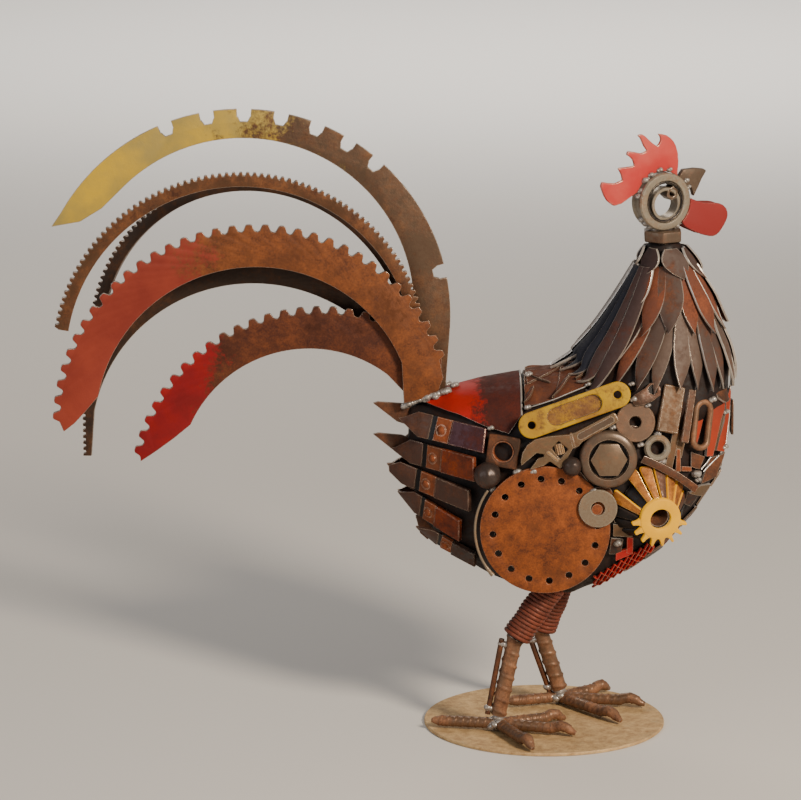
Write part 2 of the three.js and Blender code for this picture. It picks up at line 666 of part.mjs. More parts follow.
function makeSickle() {
  const { x, z, outer, width, innerShiftX, innerShiftZ, rootFront, rootBack } = SICKLE;
  const points = [polar(x, z, outer + SICKLE_POINT.reach, SICKLE_POINT.angle)];
  let angle = 150;
  for (const notch of SICKLE_NOTCHES) {
    const half = THREE.MathUtils.radToDeg(SICKLE_NOTCH_WIDTH / 2 / outer);
    const steps = Math.max(1, Math.round((angle - notch) / 12));
    points.push(...arcPoints(x, z, outer, angle, notch + half, steps));
    points.push(...arcPoints(x, z, outer - SICKLE_NOTCH_DEPTH, notch + half * 0.8, notch - half * 0.8, 2));
    angle = notch - half;
  }
  points.push(...arcPoints(x, z, outer, angle, SICKLE.from, 3));
  points.push([rootFront, saddleRise(rootFront) + ROOT_DEPTH], [rootBack, saddleRise(rootBack) + ROOT_DEPTH]);
  const inside = [x + innerShiftX, z + innerShiftZ, outer - width];
  points.push(...arcPoints(...inside, SICKLE.innerFrom, SICKLE.innerTo, 14));
  points.push(...SICKLE_TIP.map(([turn, inset]) => polar(x, z, outer - inset, turn)).reverse());
  return shapeOf(points.reverse());
}

function makeRing({ x, z, outer, from, to, teeth }) {
  const { width, tooth } = RING;
  const half = (to - from) / teeth / 2;
  const points = [];
  for (let i = 0; i <= teeth; i += 1) {
    const angle = mix(from, to, i / teeth);
    points.push(polar(x, z, outer - tooth, angle));
    if (i < teeth) {
      points.push(polar(x, z, outer, angle + half));
    }
  }
  points.push(...arcPoints(x, z, outer - width, to, from, 22));
  return shapeOf(points);
}

// The foot of a gear arc, where it stands on the saddle
function gearFoot({ rootFront, rootBack, heel, rootY }) {
  return [[rootFront, saddleRise(rootFront, rootY)], [rootBack - heel, saddleRise(rootBack, rootY)]];
}

function makeGearNear() {
  const { x, z, outer, width, tooth, from, innerFrom, innerTo, tip } = GEAR_NEAR;
  const points = toothedArc(GEAR_NEAR);
  points.push(...arcPoints(x, z, outer - tooth, from + 1, from, 1));
  points.push(...gearFoot(GEAR_NEAR));
  points.push(...arcPoints(x, z, outer - width, innerFrom, innerTo, 16));
  points.push(...tip.map(([turn, inset]) => polar(x, z, outer - inset, turn)));
  return shapeOf(points.reverse());
}

function makeGearFar() {
  const { x, z, outer, width, tooth, from, to, innerFrom, tipDrop, tipWidth, tipTop } = GEAR_FAR;
  const inner = outer - width;
  const points = toothedArc(GEAR_FAR);
  points.push(...arcPoints(x, z, outer - tooth, from + 1, from, 1));
  points.push(...gearFoot(GEAR_FAR));
  points.push(...arcPoints(x, z, inner, innerFrom, to, 12));
  points.push([x - inner, z - tipDrop], [x - inner - tipWidth, z - tipDrop]);
  points.push([x - inner - tipWidth, z + tipTop]);
  return shapeOf(points.reverse());
}

function makeGearLow() {
  const { x, z, outer, width, tooth, innerShiftX, innerShiftZ, innerFrom, innerTo, tip } = GEAR_LOW;
  const points = toothedArc(GEAR_LOW);
  points.push(...arcPoints(x, z, outer - tooth, GEAR_LOW.plainFrom, GEAR_LOW.plainTo, 1));
  points.push(...gearFoot(GEAR_LOW));
  points.push(...arcPoints(x + innerShiftX, z + innerShiftZ, outer - width, innerFrom, innerTo, 12));
  points.push(...tip.map(([turn, inset]) => polar(x, z, outer - inset, turn)));
  return shapeOf(points.reverse());
}

function makeTail() {
  const side = PLATE / 2 + GAP;
  const low = side + GEAR_THICKNESS / 2;
  const near = low + GEAR_THICKNESS + GAP;
  standUpright("tail_sickle_plate", makeSickle(), PLATE, 0, 0, finish(0x7a6a3a, 0.5, 0.7));
  standUpright("tail_lower_gear_arc", makeGearLow(), GEAR_THICKNESS, -low, GEAR_LOW.splay, redPaint());
  standUpright("tail_near_gear_arc", makeGearNear(), GEAR_THICKNESS, -near, GEAR_NEAR.splay, rust());
  standUpright("tail_far_gear_arc", makeGearFar(), GEAR_THICKNESS, low, GEAR_FAR.splay, darkSteel());
  const ringSide = side + RING.depth / 2;
  const standRing = (name, ring, y, material) => {
    standUpright(name, makeRing(ring), RING.depth, y, ring.splay, material, ring.rootX);
  };
  standRing("tail_near_ring_gear", RING_NEAR, -ringSide, rust());
  standRing("tail_far_ring_gear", RING_FAR, ringSide, darkSteel());
}

// A blade: a pointed tooth that goes on as a thicker riveted block
function bladeForm(length) {
  const { tooth, block, height, toothLength, tip } = BLADE;
  const half = height / 2;
  const end = length * BLADE_SHARES.toothEnd;
  const toothShape = shapeOf([
    [0, tip],
    [toothLength, -half],
    [end, -half],
    [end, half],
    [toothLength * TOOTH_SHOULDER, half],
  ]);
  const toothPart = plate(toothShape, tooth).translate(0, 0, tooth / 2);
  const blockLength = length * BLADE_SHARES.block;
  const blockPart = new THREE.BoxGeometry(blockLength, height, block);
  blockPart.translate(blockLength / 2 + length * BLADE_SHARES.blockStart, 0, block / 2);
  return join(toothPart, blockPart).translate(-length, 0, 0);
}

function makeBlades(skin) {
  BLADE_ROWS.forEach((row, i) => {
    const end = flankSpot(row.endX, row.endZ).point;
    const length = Math.hypot(row.endX - row.tipX, row.endZ - row.tipZ) * BLADE.wrap;
    const middle = {
      x: mix(row.tipX, row.endX, BLADE_SHARES.seat),
      z: mix(row.tipZ, row.endZ, BLADE_SHARES.seat),
    };
    const { normal } = flankSpot(middle.x, middle.z);
    const along = end.clone().sub(vec(row.tipX, 0, row.tipZ));
    along.y = 0;
    const forward = along.clone().addScaledVector(normal, -along.dot(normal)).normalize();
    const up = normal.clone().cross(forward);
    const blade = bladeForm(length);
    blade.applyMatrix4(new THREE.Matrix4().makeBasis(forward, up, normal));
    const seat = flankSpot(middle.x, middle.z).point.addScaledVector(normal, BLADE.lift);
    seat.addScaledVector(forward, length * BLADE_SHARES.slide);
    blade.translate(seat.x, seat.y, seat.z);
    // What would pass the middle is cut off, so that both sides and the rear teeth stay apart
    const farSide = new THREE.BoxGeometry(length * 2, length, length * 2);
    farSide.translate(row.tipX, length / 2 - REAR_TOOTH.thickness / 2 - GAP, row.tipZ);
    const near = cut(cut(blade, skin), farSide);
    addPiece(`near_blade_${i + 1}`, near, rust());
    addPiece(`far_blade_${i + 1}`, mirrored(near), rust());
  });
}

function makeRearTeeth(skin) {
  REAR_TEETH.forEach(({ tipX, tipZ, rootX, rootZ }, i) => {
    const length = Math.hypot(rootX - tipX, rootZ - tipZ);
    const half = REAR_TOOTH.width / 2;
    const end = length + REAR_TOOTH.root;
    const top = [length * REAR_TOOTH.shoulder, half];
    const shape = shapeOf([[0, 0], [length, -half], [end, -half], [end, half], top]);
    const tooth = plate(shape, REAR_TOOTH.thickness).rotateX(Math.PI / 2);
    tooth.rotateY(Math.atan2(tipZ - rootZ, rootX - tipX));
    tooth.translate(tipX, 0, tipZ);
    addPiece(`rear_tooth_${i + 1}`, cut(tooth, skin), darkSteel());
  });
}

// Scrap on the near flank
function ringForm({ radius, hole, thickness }, sides = 14) {
  const shape = shapeOf(circlePoints(radius, sides));
  shape.holes.push(roundHole(0, 0, hole, 8));
  return plate(shape, thickness);
}

function discForm(holes) {
  const shape = shapeOf(circlePoints(DISC.radius, 28));
  for (let i = 0; i < holes; i += 1) {
    const centre = polar(0, 0, DISC_HOLES.pitchRadius, DISC_HOLES.first + (360 * i) / holes);
    shape.holes.push(roundHole(...centre, DISC_HOLES.radius, 5));
  }
  return plate(shape, DISC.thickness);
}

function discSpot(side) {
  const reach = between(TRUNK, "x", DISC.x).half + DISC.stand + DISC.thickness / 2;
  return vec(DISC.x, side * reach, DISC.z);
}

function makeDiscs() {
  const near = discForm(DISC_HOLES.count).rotateX(Math.PI / 2);
  const far = discForm(0).rotateX(Math.PI / 2);
  const place = discSpot(-1);
  addPiece("near_cover_disc", near, rust()).position.copy(place);
  addPiece("far_cover_disc", far, rust()).position.copy(discSpot(1));
  const reach = DISC.radius + EDGE_ROD.radius + EDGE_ROD.clearance;
  const route = arcPoints(0, 0, reach, EDGE_ROD.from, EDGE_ROD.to, 5).map(([x, z]) => vec(x, 0, z));
  const rod = bar(route, shapeOf(circlePoints(EDGE_ROD.radius, 6)));
  addPiece("disc_edge_rod", rod, darkSteel()).position.copy(place);
}

function capsuleShape(span, radius, sides = 6) {
  const right = arcPoints(span / 2, 0, radius, -90, 90, sides);
  const left = arcPoints(-span / 2, 0, radius, 90, 270, sides);
  return shapeOf([...right, ...left]);
}

function wrenchForm() {
  const { handle, width, thickness, taper } = WRENCH;
  const half = width / 2;
  const fixedJaw = [
    [-42.5, 2.6], [-40.7, 7.9], [-34.2, 15.7], [-24.3, 21.3], [-13, 22.5], [1.5, 18.6], [13.4, 13.5],
  ];
  const neck = [[33.5, half - taper], [35.5, half + taper], [handle, half - taper], [handle, -half + taper]];
  const foot = [[27.6, -half - taper], [20.3, -half], [-0.4, -21.8], [-4.1, -21.8], [-10.6, -8.8]];
  const slidingJaw = [[-19.4, -9.7], [-36.6, -2.8], [-19.5, 3.5], [-19.3, 7.5]];
  return plate(shapeOf([...fixedJaw, ...neck, ...foot, ...slidingJaw].reverse()), thickness);
}

function bevelForm() {
  const { outer, shoulder, inner, bore, depth, teeth, slipX, slipY } = BEVEL;
  const slip = (height) => [(slipX * height) / depth, (slipY * height) / depth];
  const ringAt = (radius, height, notch) => circlePoints(1, teeth * 2).map(([x, y], i) => {
    const r = radius - (i % 2 ? notch : 0);
    const [moveX, moveY] = slip(height);
    return vec(r * x + moveX, r * y + moveY, height);
  });
  const cone = loft([
    ringAt(outer, 0, BEVEL.outerNotch),
    ringAt(shoulder, BEVEL.shoulderHeight, BEVEL.shoulderNotch),
    ringAt(inner, depth, BEVEL.innerNotch),
  ]);
  const hole = new THREE.CylinderGeometry(bore, bore, depth * 3, 12).rotateX(Math.PI / 2);
  hole.translate(...slip(depth), 0);
  return cut(cone, hole);
}

function chainForm() {
  const { length, width, wire } = CHAIN;
  const radius = width / 2 - wire;
  const straight = length / 2 - wire - radius;
  const right = arcPoints(straight, 0, radius, -90, 90, 4);
  const left = arcPoints(-straight, 0, radius, 90, 270, 4);
  const rings = [...right, ...left].map(([x, y], i, all) => {
    const [px, py] = all[(i + all.length - 1) % all.length];
    const [nx, ny] = all[(i + 1) % all.length];
    const outward = vec(ny - py, px - nx, 0).normalize();
    return circlePoints(wire, 6).map(([a, b]) => vec(x, y, 0).addScaledVector(outward, a).setZ(b));
  });
  return hoop(rings);
}

function makeFlank(skin) {
  const box = ({ length, width, thickness }) => new THREE.BoxGeometry(length, width, thickness);
  const seat = (name, form, material, spot) => clearOfBody(onFlank(name, form, material, spot), skin);
  const half = SQUARE_PLATE.side / 2;
  const square = shapeOf([[-half, -half], [half, -half], [half, half], [-half, half]]);
  square.holes.push(roundHole(0, 0, SQUARE_PLATE.hole, 10));
  seat("square_hole_plate", plate(square, SQUARE_PLATE.thickness), darkSteel(), SQUARE_PLATE);
  const ball = (radius) => new THREE.SphereGeometry(radius, 9, 6).rotateX(Math.PI / 2);
  seat("large_ball", ball(BALL_LARGE.radius), darkSteel(), BALL_LARGE);
  seat("small_ball", ball(BALL_SMALL.radius), darkSteel(), BALL_SMALL);
  const link = capsuleShape(LINK.span, LINK.radius);
  link.holes.push(roundHole(-LINK.span / 2, 0, LINK.hole, 6), roundHole(LINK.span / 2, 0, LINK.hole, 6));
  seat("yellow_link", plate(link, LINK.thickness), yellowPaint(), LINK);
  seat("adjustable_wrench", wrenchForm(), copperRust(), WRENCH);
  seat("big_round_nut", ringForm({ ...BIG_NUT, hole: BIG_NUT.inner }, 16), darkSteel(), BIG_NUT);
  const head = plate(shapeOf(circlePoints(BOLT_HEAD.radius, 6)), BOLT_HEAD.thickness);
  seat("hex_bolt_head", head, rust(), { ...BIG_NUT, stand: BOLT_HEAD.stand });
  seat("plain_washer", ringForm(WASHER), darkSteel(), WASHER);
  seat("ring_washer", ringForm(RING_WASHER), greySteel(), RING_WASHER);
  seat("strap_bar", box(STRAP), darkSteel(), STRAP);
  seat("bevel_gear", bevelForm(), yellowPaint(), BEVEL);
  seat("chain_link", chainForm(), rust(), CHAIN);
  seat("grey_bar", box(GREY_BAR), greySteel(), GREY_BAR);
  for (const red of RED_BARS) {
    seat(red.name, box(red), redPaint(), { ...red, ...RED_BAR_SEAT });
  }
  const place = discSpot(-1);
  const overDisc = place.y - DISC.thickness / 2 - DISC_WASHER.thickness / 2 - GAP;
  const washer = addPiece("disc_washer", ringForm(DISC_WASHER).rotateX(Math.PI / 2), greySteel());
  washer.position.set(DISC_WASHER.x, overDisc, DISC_WASHER.z);
  trim("adjustable_wrench", "near_cover_disc", "plain_washer", "small_ball", "yellow_link");
  trim("adjustable_wrench", "big_round_nut", "square_hole_plate");
  trim("big_round_nut", "near_cover_disc", "small_ball", "disc_washer", "plain_washer");
  for (const row of [1, 2, 3]) {
    trim(`near_blade_${row}`, "large_ball", "square_hole_plate");
    trim("large_ball", `near_blade_${row}`);
  }
  trim("large_ball", "near_cover_disc", "disc_edge_rod", "square_hole_plate");
  trim("small_ball", "near_cover_disc");
  trim("bevel_gear", "strap_bar", "disc_washer");
}

function makeMeshStrip() {
  const { fromX, fromZ, toX, toZ, width, thickness, stand } = MESH_STRIP;
  const rings = [];
  const steps = 5;
  for (let i = 0; i <= steps; i += 1) {
    const x = mix(fromX, toX, i / steps);
    const z = mix(fromZ, toZ, i / steps);
    const low = trunkAngle(x, z - width / 2);
    const high = trunkAngle(x, z + width / 2);
    rings.push([
      trunkSkin(x, low, stand),
      trunkSkin(x, high, stand),
      trunkSkin(x, high, stand + thickness),
      trunkSkin(x, low, stand + thickness),
    ]);
  }
  addPiece("belly_mesh_strip", loft(rings), redPaint());
}

function makeFarFlank(skin) {
  const points = [];
  for (let i = 0; i < FAR_GEAR.teeth; i += 1) {
    for (const [share, radius] of [[0, -1], [0.25, 0], [0.55, 0], [0.8, -1]]) {
      const reach = FAR_GEAR.radius + radius * FAR_GEAR.tooth;
      points.push(polar(0, 0, reach, (360 * (i + share)) / FAR_GEAR.teeth));
    }
  }
  const wheel = shapeOf(points);
  wheel.holes.push(roundHole(0, 0, FAR_GEAR.bore, 8));
  const mesh = onFlank("far_gear_wheel", plate(wheel, FAR_GEAR.thickness), rust(), FAR_GEAR);
  clearOfBody(mesh, skin);
  mesh.geometry = mirrored(mesh.geometry);
}

// Head: built facing +X in its own frame, then turned to the bird's left
function makeHead() {
  const head = new THREE.Group();
  head.position.set(HEAD_AXIS_X, 0, 0);
  head.rotation.z = rad(HEAD_TURN);
  rooster.add(head);
  const part = (name, geometry, material, y = 0) => {
    const mesh = new THREE.Mesh(geometry.rotateX(Math.PI / 2), material);
    mesh.name = name;
    mesh.position.y = y;
    head.add(mesh);
  };
  const { x, radius, inner, depth } = EYE;
  const z = EYE_Z;
  const growth = radius / OUTLINE_RING.radius;
  const grown = (outline) => outline.map(([px, pz]) => (
    [x + (px - OUTLINE_RING.x) * growth, z + (pz - OUTLINE_RING.z) * growth]
  ));
  const ring = shapeOf(circlePoints(radius, 22));
  ring.holes.push(roundHole(0, 0, inner, 16));
  part("eye_ring", plate(ring, depth).translate(x, z, 0), darkSteel());
  const tube = shapeOf(circlePoints(EYE_TUBE.radius, 14));
  tube.holes.push(roundHole(0, 0, EYE_TUBE.radius - EYE_TUBE.wall, 12));
  const pupil = plate(shapeOf(circlePoints(PUPIL.radius, 6)), EYE_TUBE.depth);
  const play = inner * Math.cos(Math.PI / 16) - EYE_TUBE.radius - GAP;
  const tubeForm = plate(tube, EYE_TUBE.depth).translate(...polar(x, z, play, EYE_TUBE.lean), 0);
  part("eye_tube", join(tubeForm, pupil.translate(x + PUPIL.x, z + PUPIL.z, 0)), darkSteel());
  const rim = radius + GAP * 2;
  const comb = shapeOf([...grown(COMB), ...arcPoints(x, z, rim, 158, 52, 6)]);
  part("comb", plate(comb, HEAD_PLATE), redPaint());
  const beak = shapeOf([...grown(BEAK), ...arcPoints(x, z, rim, 50, 14, 4)]);
  part("beak", plate(beak, BEAK_THICKNESS), greySteel());
  const wattleShape = () => shapeOf([...grown(WATTLE), ...arcPoints(x, z, rim, 3, -46, 4)]);
  part("near_wattle", plate(wattleShape(), HEAD_PLATE), redPaint(), -WATTLE_SPREAD);
  part("far_wattle", plate(wattleShape(), HEAD_PLATE), redPaint(), WATTLE_SPREAD);
  const neckTop = NECK[NECK.length - 1].z;
  const collarForm = new THREE.CylinderGeometry(COLLAR.radius, COLLAR.radius, COLLAR.height, 6);
  collarForm.translate(x + COLLAR.shift, neckTop + GAP + COLLAR.height / 2, 0);
  part("collar_nut", collarForm, greySteel());
}

makeBase();
makeFoot("near_foot", NEAR_FOOT, NEAR_TOES);
makeFoot("far_foot", FAR_FOOT, FAR_TOES);
makeShank("near_shank", NEAR_FOOT, NEAR_KNEE, NEAR_HIP);
makeShank("far_shank", FAR_FOOT, FAR_KNEE, FAR_HIP);
const body = bodyForm(0);
const skin = bodyForm(GAP);
addPiece("body", body, darkSteel());
makeSpring("near_thigh_spring", NEAR_KNEE, NEAR_HIP, skin);
makeSpring("far_thigh_spring", FAR_KNEE, FAR_HIP, skin);
addPiece("saddle_sheet", makeSaddle(), redPaint());
makeTail();
makeBlades(skin);
makeRearTeeth(skin);
makeDiscs();
makeFlank(skin);
makeMeshStrip();
makeFarFlank(skin);
CAPE_ROWS.forEach((row) => makeCapeRow(row, skin));
makeHead();

export default rooster;
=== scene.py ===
import math
import random

import bmesh
import bpy
from mathutils import Matrix, Vector, noise


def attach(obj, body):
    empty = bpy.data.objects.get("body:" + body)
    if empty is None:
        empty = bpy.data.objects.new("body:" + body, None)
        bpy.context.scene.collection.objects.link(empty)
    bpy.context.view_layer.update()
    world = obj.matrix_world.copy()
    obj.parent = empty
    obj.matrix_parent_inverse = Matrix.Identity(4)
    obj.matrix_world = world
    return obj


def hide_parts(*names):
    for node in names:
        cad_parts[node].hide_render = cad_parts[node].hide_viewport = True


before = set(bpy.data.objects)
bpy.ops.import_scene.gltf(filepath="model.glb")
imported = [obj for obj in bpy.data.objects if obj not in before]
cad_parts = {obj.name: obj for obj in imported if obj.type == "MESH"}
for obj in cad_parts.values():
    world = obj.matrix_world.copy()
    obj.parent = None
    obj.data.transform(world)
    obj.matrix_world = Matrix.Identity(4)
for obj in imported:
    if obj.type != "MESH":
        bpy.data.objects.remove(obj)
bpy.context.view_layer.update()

# Sizes are in millimetres, as in the part's source, and become metres when a piece is finished
MM = 0.001
GAP = 0.3
SHEET = 2.5
SADDLE_LIFT = 1.3

BASE_RADIUS = 146
BASE_THICKNESS = 4
TOE_RADIUS = 7.2
NEAR_FOOT = (-57, -51)
FAR_FOOT = (21, 62)
NEAR_TOES = ((-67, 101), (-17.5, 98), (22, 90), (171, 83))
FAR_TOES = ((-52, 117), (-11, 108), (38, 83), (197, 70))
SHANK_RADIUS = 10.5
ROD_RADIUS = 4
ROD_OFFSET = 15
SPRING_RADIUS = 18
NEAR_KNEE = (-38, -54, 119)
NEAR_HIP = (6, -50, 184)
FAR_KNEE = (-3, 55, 99)
FAR_HIP = (26, 50, 176)

BODY_POWER = 2.4
BODY_WIDEST = 325
# Upright sections of the trunk: x, top, bottom, half width
TRUNK = (
    (-165, 393, 304, 12), (-143, 402, 250, 33), (-113, 414, 216, 57), (-77, 423, 194, 75),
    (-41, 429, 176, 86), (-5, 434, 167, 91), (31, 441, 165, 92), (67, 450, 180, 90),
    (103, 458, 201, 85), (139, 460, 227, 76), (175, 452, 271, 62), (204, 430, 318, 42),
    (218, 400, 358, 18),
)
NECK_POWER = 2.1
# Level sections of the neck: height, back, front, half width
NECK = (
    (360, 66, 196, 60), (400, 26, 217, 82), (440, 38, 219, 73), (468, 57, 213, 62),
    (500, 85, 199, 50), (534, 101, 188, 38), (568, 114, 170, 26), (594, 119, 157, 18),
)


# Workshop helpers
def blend(a, b, share):
    return a + (b - a) * share


def between(stations, value):
    last = len(stations) - 2
    i = 0
    while i < last and value > stations[i + 1][0]:
        i += 1
    a, b = stations[i], stations[i + 1]
    share = min(max((value - a[0]) / (b[0] - a[0]), 0), 1)
    return [blend(p, q, share) for p, q in zip(a, b)]


def signed_power(value, power):
    return math.copysign(abs(value) ** power, value)


def trunk_point(x, angle):
    """Angle 0 is the near side, 90 the ridge of the back, 270 the belly."""
    _, top, bottom, half = between(TRUNK, x)
    turn = math.radians(angle)
    up = signed_power(math.sin(turn), 2 / BODY_POWER)
    rise = top - BODY_WIDEST if up > 0 else BODY_WIDEST - bottom
    middle = min(max(BODY_WIDEST, bottom), top)
    return Vector((x, -half * signed_power(math.cos(turn), 2 / BODY_POWER), middle + rise * up))


def trunk_skin(x, angle, lift):
    along = trunk_point(x + 2, angle) - trunk_point(x - 2, angle)
    along.x = 4
    around = trunk_point(x, angle + 2) - trunk_point(x, angle - 2)
    return trunk_point(x, angle) + along.cross(around).normalized() * lift


def trunk_angle(x, z):
    _, top, bottom, _ = between(TRUNK, x)
    rise = top - BODY_WIDEST if z > BODY_WIDEST else BODY_WIDEST - bottom
    share = min(max((z - BODY_WIDEST) / rise, -1), 1)
    return math.degrees(math.asin(signed_power(share, BODY_POWER / 2)))


def neck_skin(z, angle, lift):
    """Angle 0 is the front of the neck, 90 the far side."""
    _, back, front, half = between(NECK, z)
    along = signed_power(math.cos(math.radians(angle)), 2 / NECK_POWER)
    across = signed_power(math.sin(math.radians(angle)), 2 / NECK_POWER)
    return Vector(((front + back) / 2 + ((front - back) / 2 + lift) * along, (half + lift) * across, z))


def shift(x, y, z):
    return Matrix.Translation((x, y, z))


def rotation(degrees, axis):
    return Matrix.Rotation(math.radians(degrees), 4, axis)


def seat(x, z, stand, straight=0.45, spin=0.0):
    """The frame of a piece on the near flank: its plane is XY and its outer face +Z."""
    angle = trunk_angle(x, z)
    point = trunk_skin(x, angle, 0)
    normal = (trunk_skin(x, angle, 1) - point).normalized()
    facing = normal.lerp(Vector((0, -1, 0)), straight).normalized()
    right = Vector((0, 0, 1)).cross(facing).normalized()
    up = facing.cross(right)
    turned = Matrix((right, up, facing)).transposed().to_4x4()
    return Matrix.Translation(point + facing * stand) @ turned @ rotation(spin, "Z")


def upright(y, splay=0.0, root=-112):
    """The frame of a plate drawn in XZ that stands upright, turned out about its root."""
    return (shift(root, y, 0) @ rotation(splay, "Z")
            @ shift(-root, 0, 0) @ rotation(90, "X"))


def arc(x, z, radius, start, end, steps):
    turns = [math.radians(blend(start, end, i / steps)) for i in range(steps + 1)]
    return [(x + radius * math.cos(a), z + radius * math.sin(a)) for a in turns]


def circle(radius, sides, x=0.0, y=0.0, turn=0.0):
    return arc(x, y, radius, turn, turn + 360 * (sides - 1) / sides, sides - 1)


def capsule(span, radius, steps):
    """The outline of a bar with round ends."""
    return arc(span / 2, 0, radius, -90, 90, steps) + arc(-span / 2, 0, radius, 90, 270, steps)


def recalc(form):
    bmesh.ops.recalc_face_normals(form, faces=form.faces)
    return form


def break_edges(form, size, segments=1, sharp=0.5):
    edges = [e for e in form.edges if e.is_manifold and e.calc_face_angle(0) > sharp]
    bmesh.ops.bevel(form, geom=edges, offset=size, offset_type="OFFSET", segments=segments,
                    profile=0.5, affect="EDGES", clamp_overlap=True, material=-1)
    return form


def slab(outline, thickness, edge=0.6, holes=(), segments=1, edge_finish=0):
    """A flat plate cut to an outline, its thickness centred on XY."""
    form = bmesh.new()
    edges = []
    for loop in (outline, *holes):
        corners = [form.verts.new((x, y, -thickness / 2)) for x, y in loop]
        edges += [form.edges.new((corners[i - 1], corners[i])) for i in range(len(corners))]
    if holes:
        bmesh.ops.triangle_fill(form, edges=edges, use_beauty=True, use_dissolve=False)
    else:
        bmesh.ops.contextual_create(form, geom=edges)
    grown = bmesh.ops.extrude_face_region(form, geom=form.faces[:])
    risen = [v for v in grown["geom"] if isinstance(v, bmesh.types.BMVert)]
    bmesh.ops.translate(form, vec=(0, 0, thickness), verts=risen)
    recalc(form)
    for face in form.faces:
        if abs(face.normal.z) < 0.5:
            face.material_index = edge_finish
    if edge:
        break_edges(form, edge, segments)
    return form


def turned(profile, sides=48):
    """A piece turned on a lathe about Z from (radius, height) points."""
    form = bmesh.new()
    corners = [form.verts.new((r, 0, z)) for r, z in profile]
    edges = [form.edges.new(pair) for pair in zip(corners, corners[1:])]
    bmesh.ops.spin(form, geom=corners + edges, cent=(0, 0, 0), axis=(0, 0, 1), dvec=(0, 0, 0),
                   angle=2 * math.pi, steps=sides, use_merge=True, use_duplicate=False)
    bmesh.ops.remove_doubles(form, verts=form.verts, dist=0.001)
    return recalc(form)


def ring(outer, inner, thickness, round_over=0.8, sides=48):
    half, r = thickness / 2, round_over
    return turned([
        (inner, -half + r), (inner + r, -half), (outer - r, -half), (outer, -half + r),
        (outer, half - r), (outer - r, half), (inner + r, half), (inner, half - r), (inner, -half + r),
    ], sides)


def drawn(path, radius, sides=10, closed=False):
    """A bar or wire along a path; radius is a number or a rule of (share, angle)."""
    count = len(path)
    form = bmesh.new()
    bmesh.ops.create_cone(form, cap_ends=not closed, cap_tris=False, segments=sides,
                          radius1=1, radius2=1, depth=count - 1)
    if count > 2:
        long = [e for e in form.edges if abs(e.verts[0].co.z - e.verts[1].co.z) > 0.5]
        bmesh.ops.subdivide_edges(form, edges=long, cuts=count - 2)
    frames = []
    side = None
    for i in range(count):
        ahead = path[(i + 1) % count] if closed else path[min(i + 1, count - 1)]
        behind = path[i - 1] if closed else path[max(i - 1, 0)]
        way = (ahead - behind).normalized()
        if side is None:
            side = way.orthogonal().normalized()
        side = (side - way * side.dot(way)).normalized()
        frames.append((side, way.cross(side)))
    for vert in form.verts:
        i = round(vert.co.z + (count - 1) / 2)
        angle = math.atan2(vert.co.y, vert.co.x)
        reach = radius(i / (count - 1), angle) if callable(radius) else radius
        if vert.co.xy.length < 0.5:
            reach = 0
        across, up = frames[i]
        vert.co = path[i] + (across * math.cos(angle) + up * math.sin(angle)) * reach
    if closed:
        first = [e for e in form.edges if e.is_boundary]
        bmesh.ops.bridge_loops(form, edges=first)
    return recalc(form)


def line(start, end, steps=1):
    return [Vector(start).lerp(Vector(end), i / steps) for i in range(steps + 1)]


def block(length, width, thickness, edge=0.8):
    return slab([(-length / 2, -width / 2), (length / 2, -width / 2),
                 (length / 2, width / 2), (-length / 2, width / 2)], thickness, edge)


def place(form, where):
    bmesh.ops.transform(form, matrix=where, verts=form.verts)
    return form


def moved(form, x, y, z):
    return place(form, shift(x, y, z))


def joined(*forms):
    """Several forms as one."""
    whole = bmesh.new()
    for form in forms:
        part = bpy.data.meshes.new("part")
        form.to_mesh(part)
        whole.from_mesh(part)
        bpy.data.meshes.remove(part)
        form.free()
    return whole


def copy_of(form, where):
    twin = place(form.copy(), where)
    if where.determinant() < 0:
        bmesh.ops.reverse_faces(twin, faces=twin.faces)
    return twin


# From the near side to the far one
MIRROR = Matrix.Scale(-1, 4, (0, 1, 0))


def painted(form, index):
    for face in form.faces:
        face.material_index = index
    return form


def painted_faces(form, index):
    """Gives the broad faces a finish and leaves the cut edges as they are."""
    for face in form.faces:
        if face.material_index == 0:
            face.material_index = index
    return form


def roughened(form, depth, size, seed=0.0):
    """Moves the skin in and out a little, as hammering, heat and rust do."""
    form.normal_update()
    moves = [v.normal * depth * noise.noise(v.co / size + Vector((seed, seed, seed))) for v in form.verts]
    for vert, move in zip(form.verts, moves):
        vert.co += move
    return form


def weld(points, size, seed=1):
    """A run of weld: overlapping drops along a path."""
    chance = random.Random(seed)
    drops = []
    for point in points:
        drop = bmesh.new()
        reach = size * chance.uniform(0.85, 1.2)
        bmesh.ops.create_icosphere(drop, subdivisions=2, radius=reach)
        bmesh.ops.scale(drop, vec=(1, 1, 0.8), verts=drop.verts)
        roughened(drop, reach * 0.25, reach * 0.8, chance.uniform(0, 50))
        bmesh.ops.translate(drop, vec=point, verts=drop.verts)
        drops.append(drop)
    return joined(*drops)


def finished(name, form, finishes, replaces=(), angle=35):
    """Makes the object, in metres, and hands it to the frame."""
    bmesh.ops.scale(form, vec=(MM, MM, MM), verts=form.verts)
    mesh = bpy.data.meshes.new(name)
    form.to_mesh(mesh)
    form.free()
    for finish in finishes:
        mesh.materials.append(finish)
    mesh.shade_smooth()
    mesh.set_sharp_from_angle(angle=math.radians(angle))
    piece = bpy.data.objects.new(name, mesh)
    bpy.context.scene.collection.objects.link(piece)
    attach(piece, "root")
    if replaces:
        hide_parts(*replaces)
    return piece


# Finishes
def feed(tree, socket, value):
    """Links a socket to another one, or sets it to a plain value."""
    if isinstance(value, bpy.types.NodeSocket):
        tree.links.new(value, socket)
    else:
        socket.default_value = value


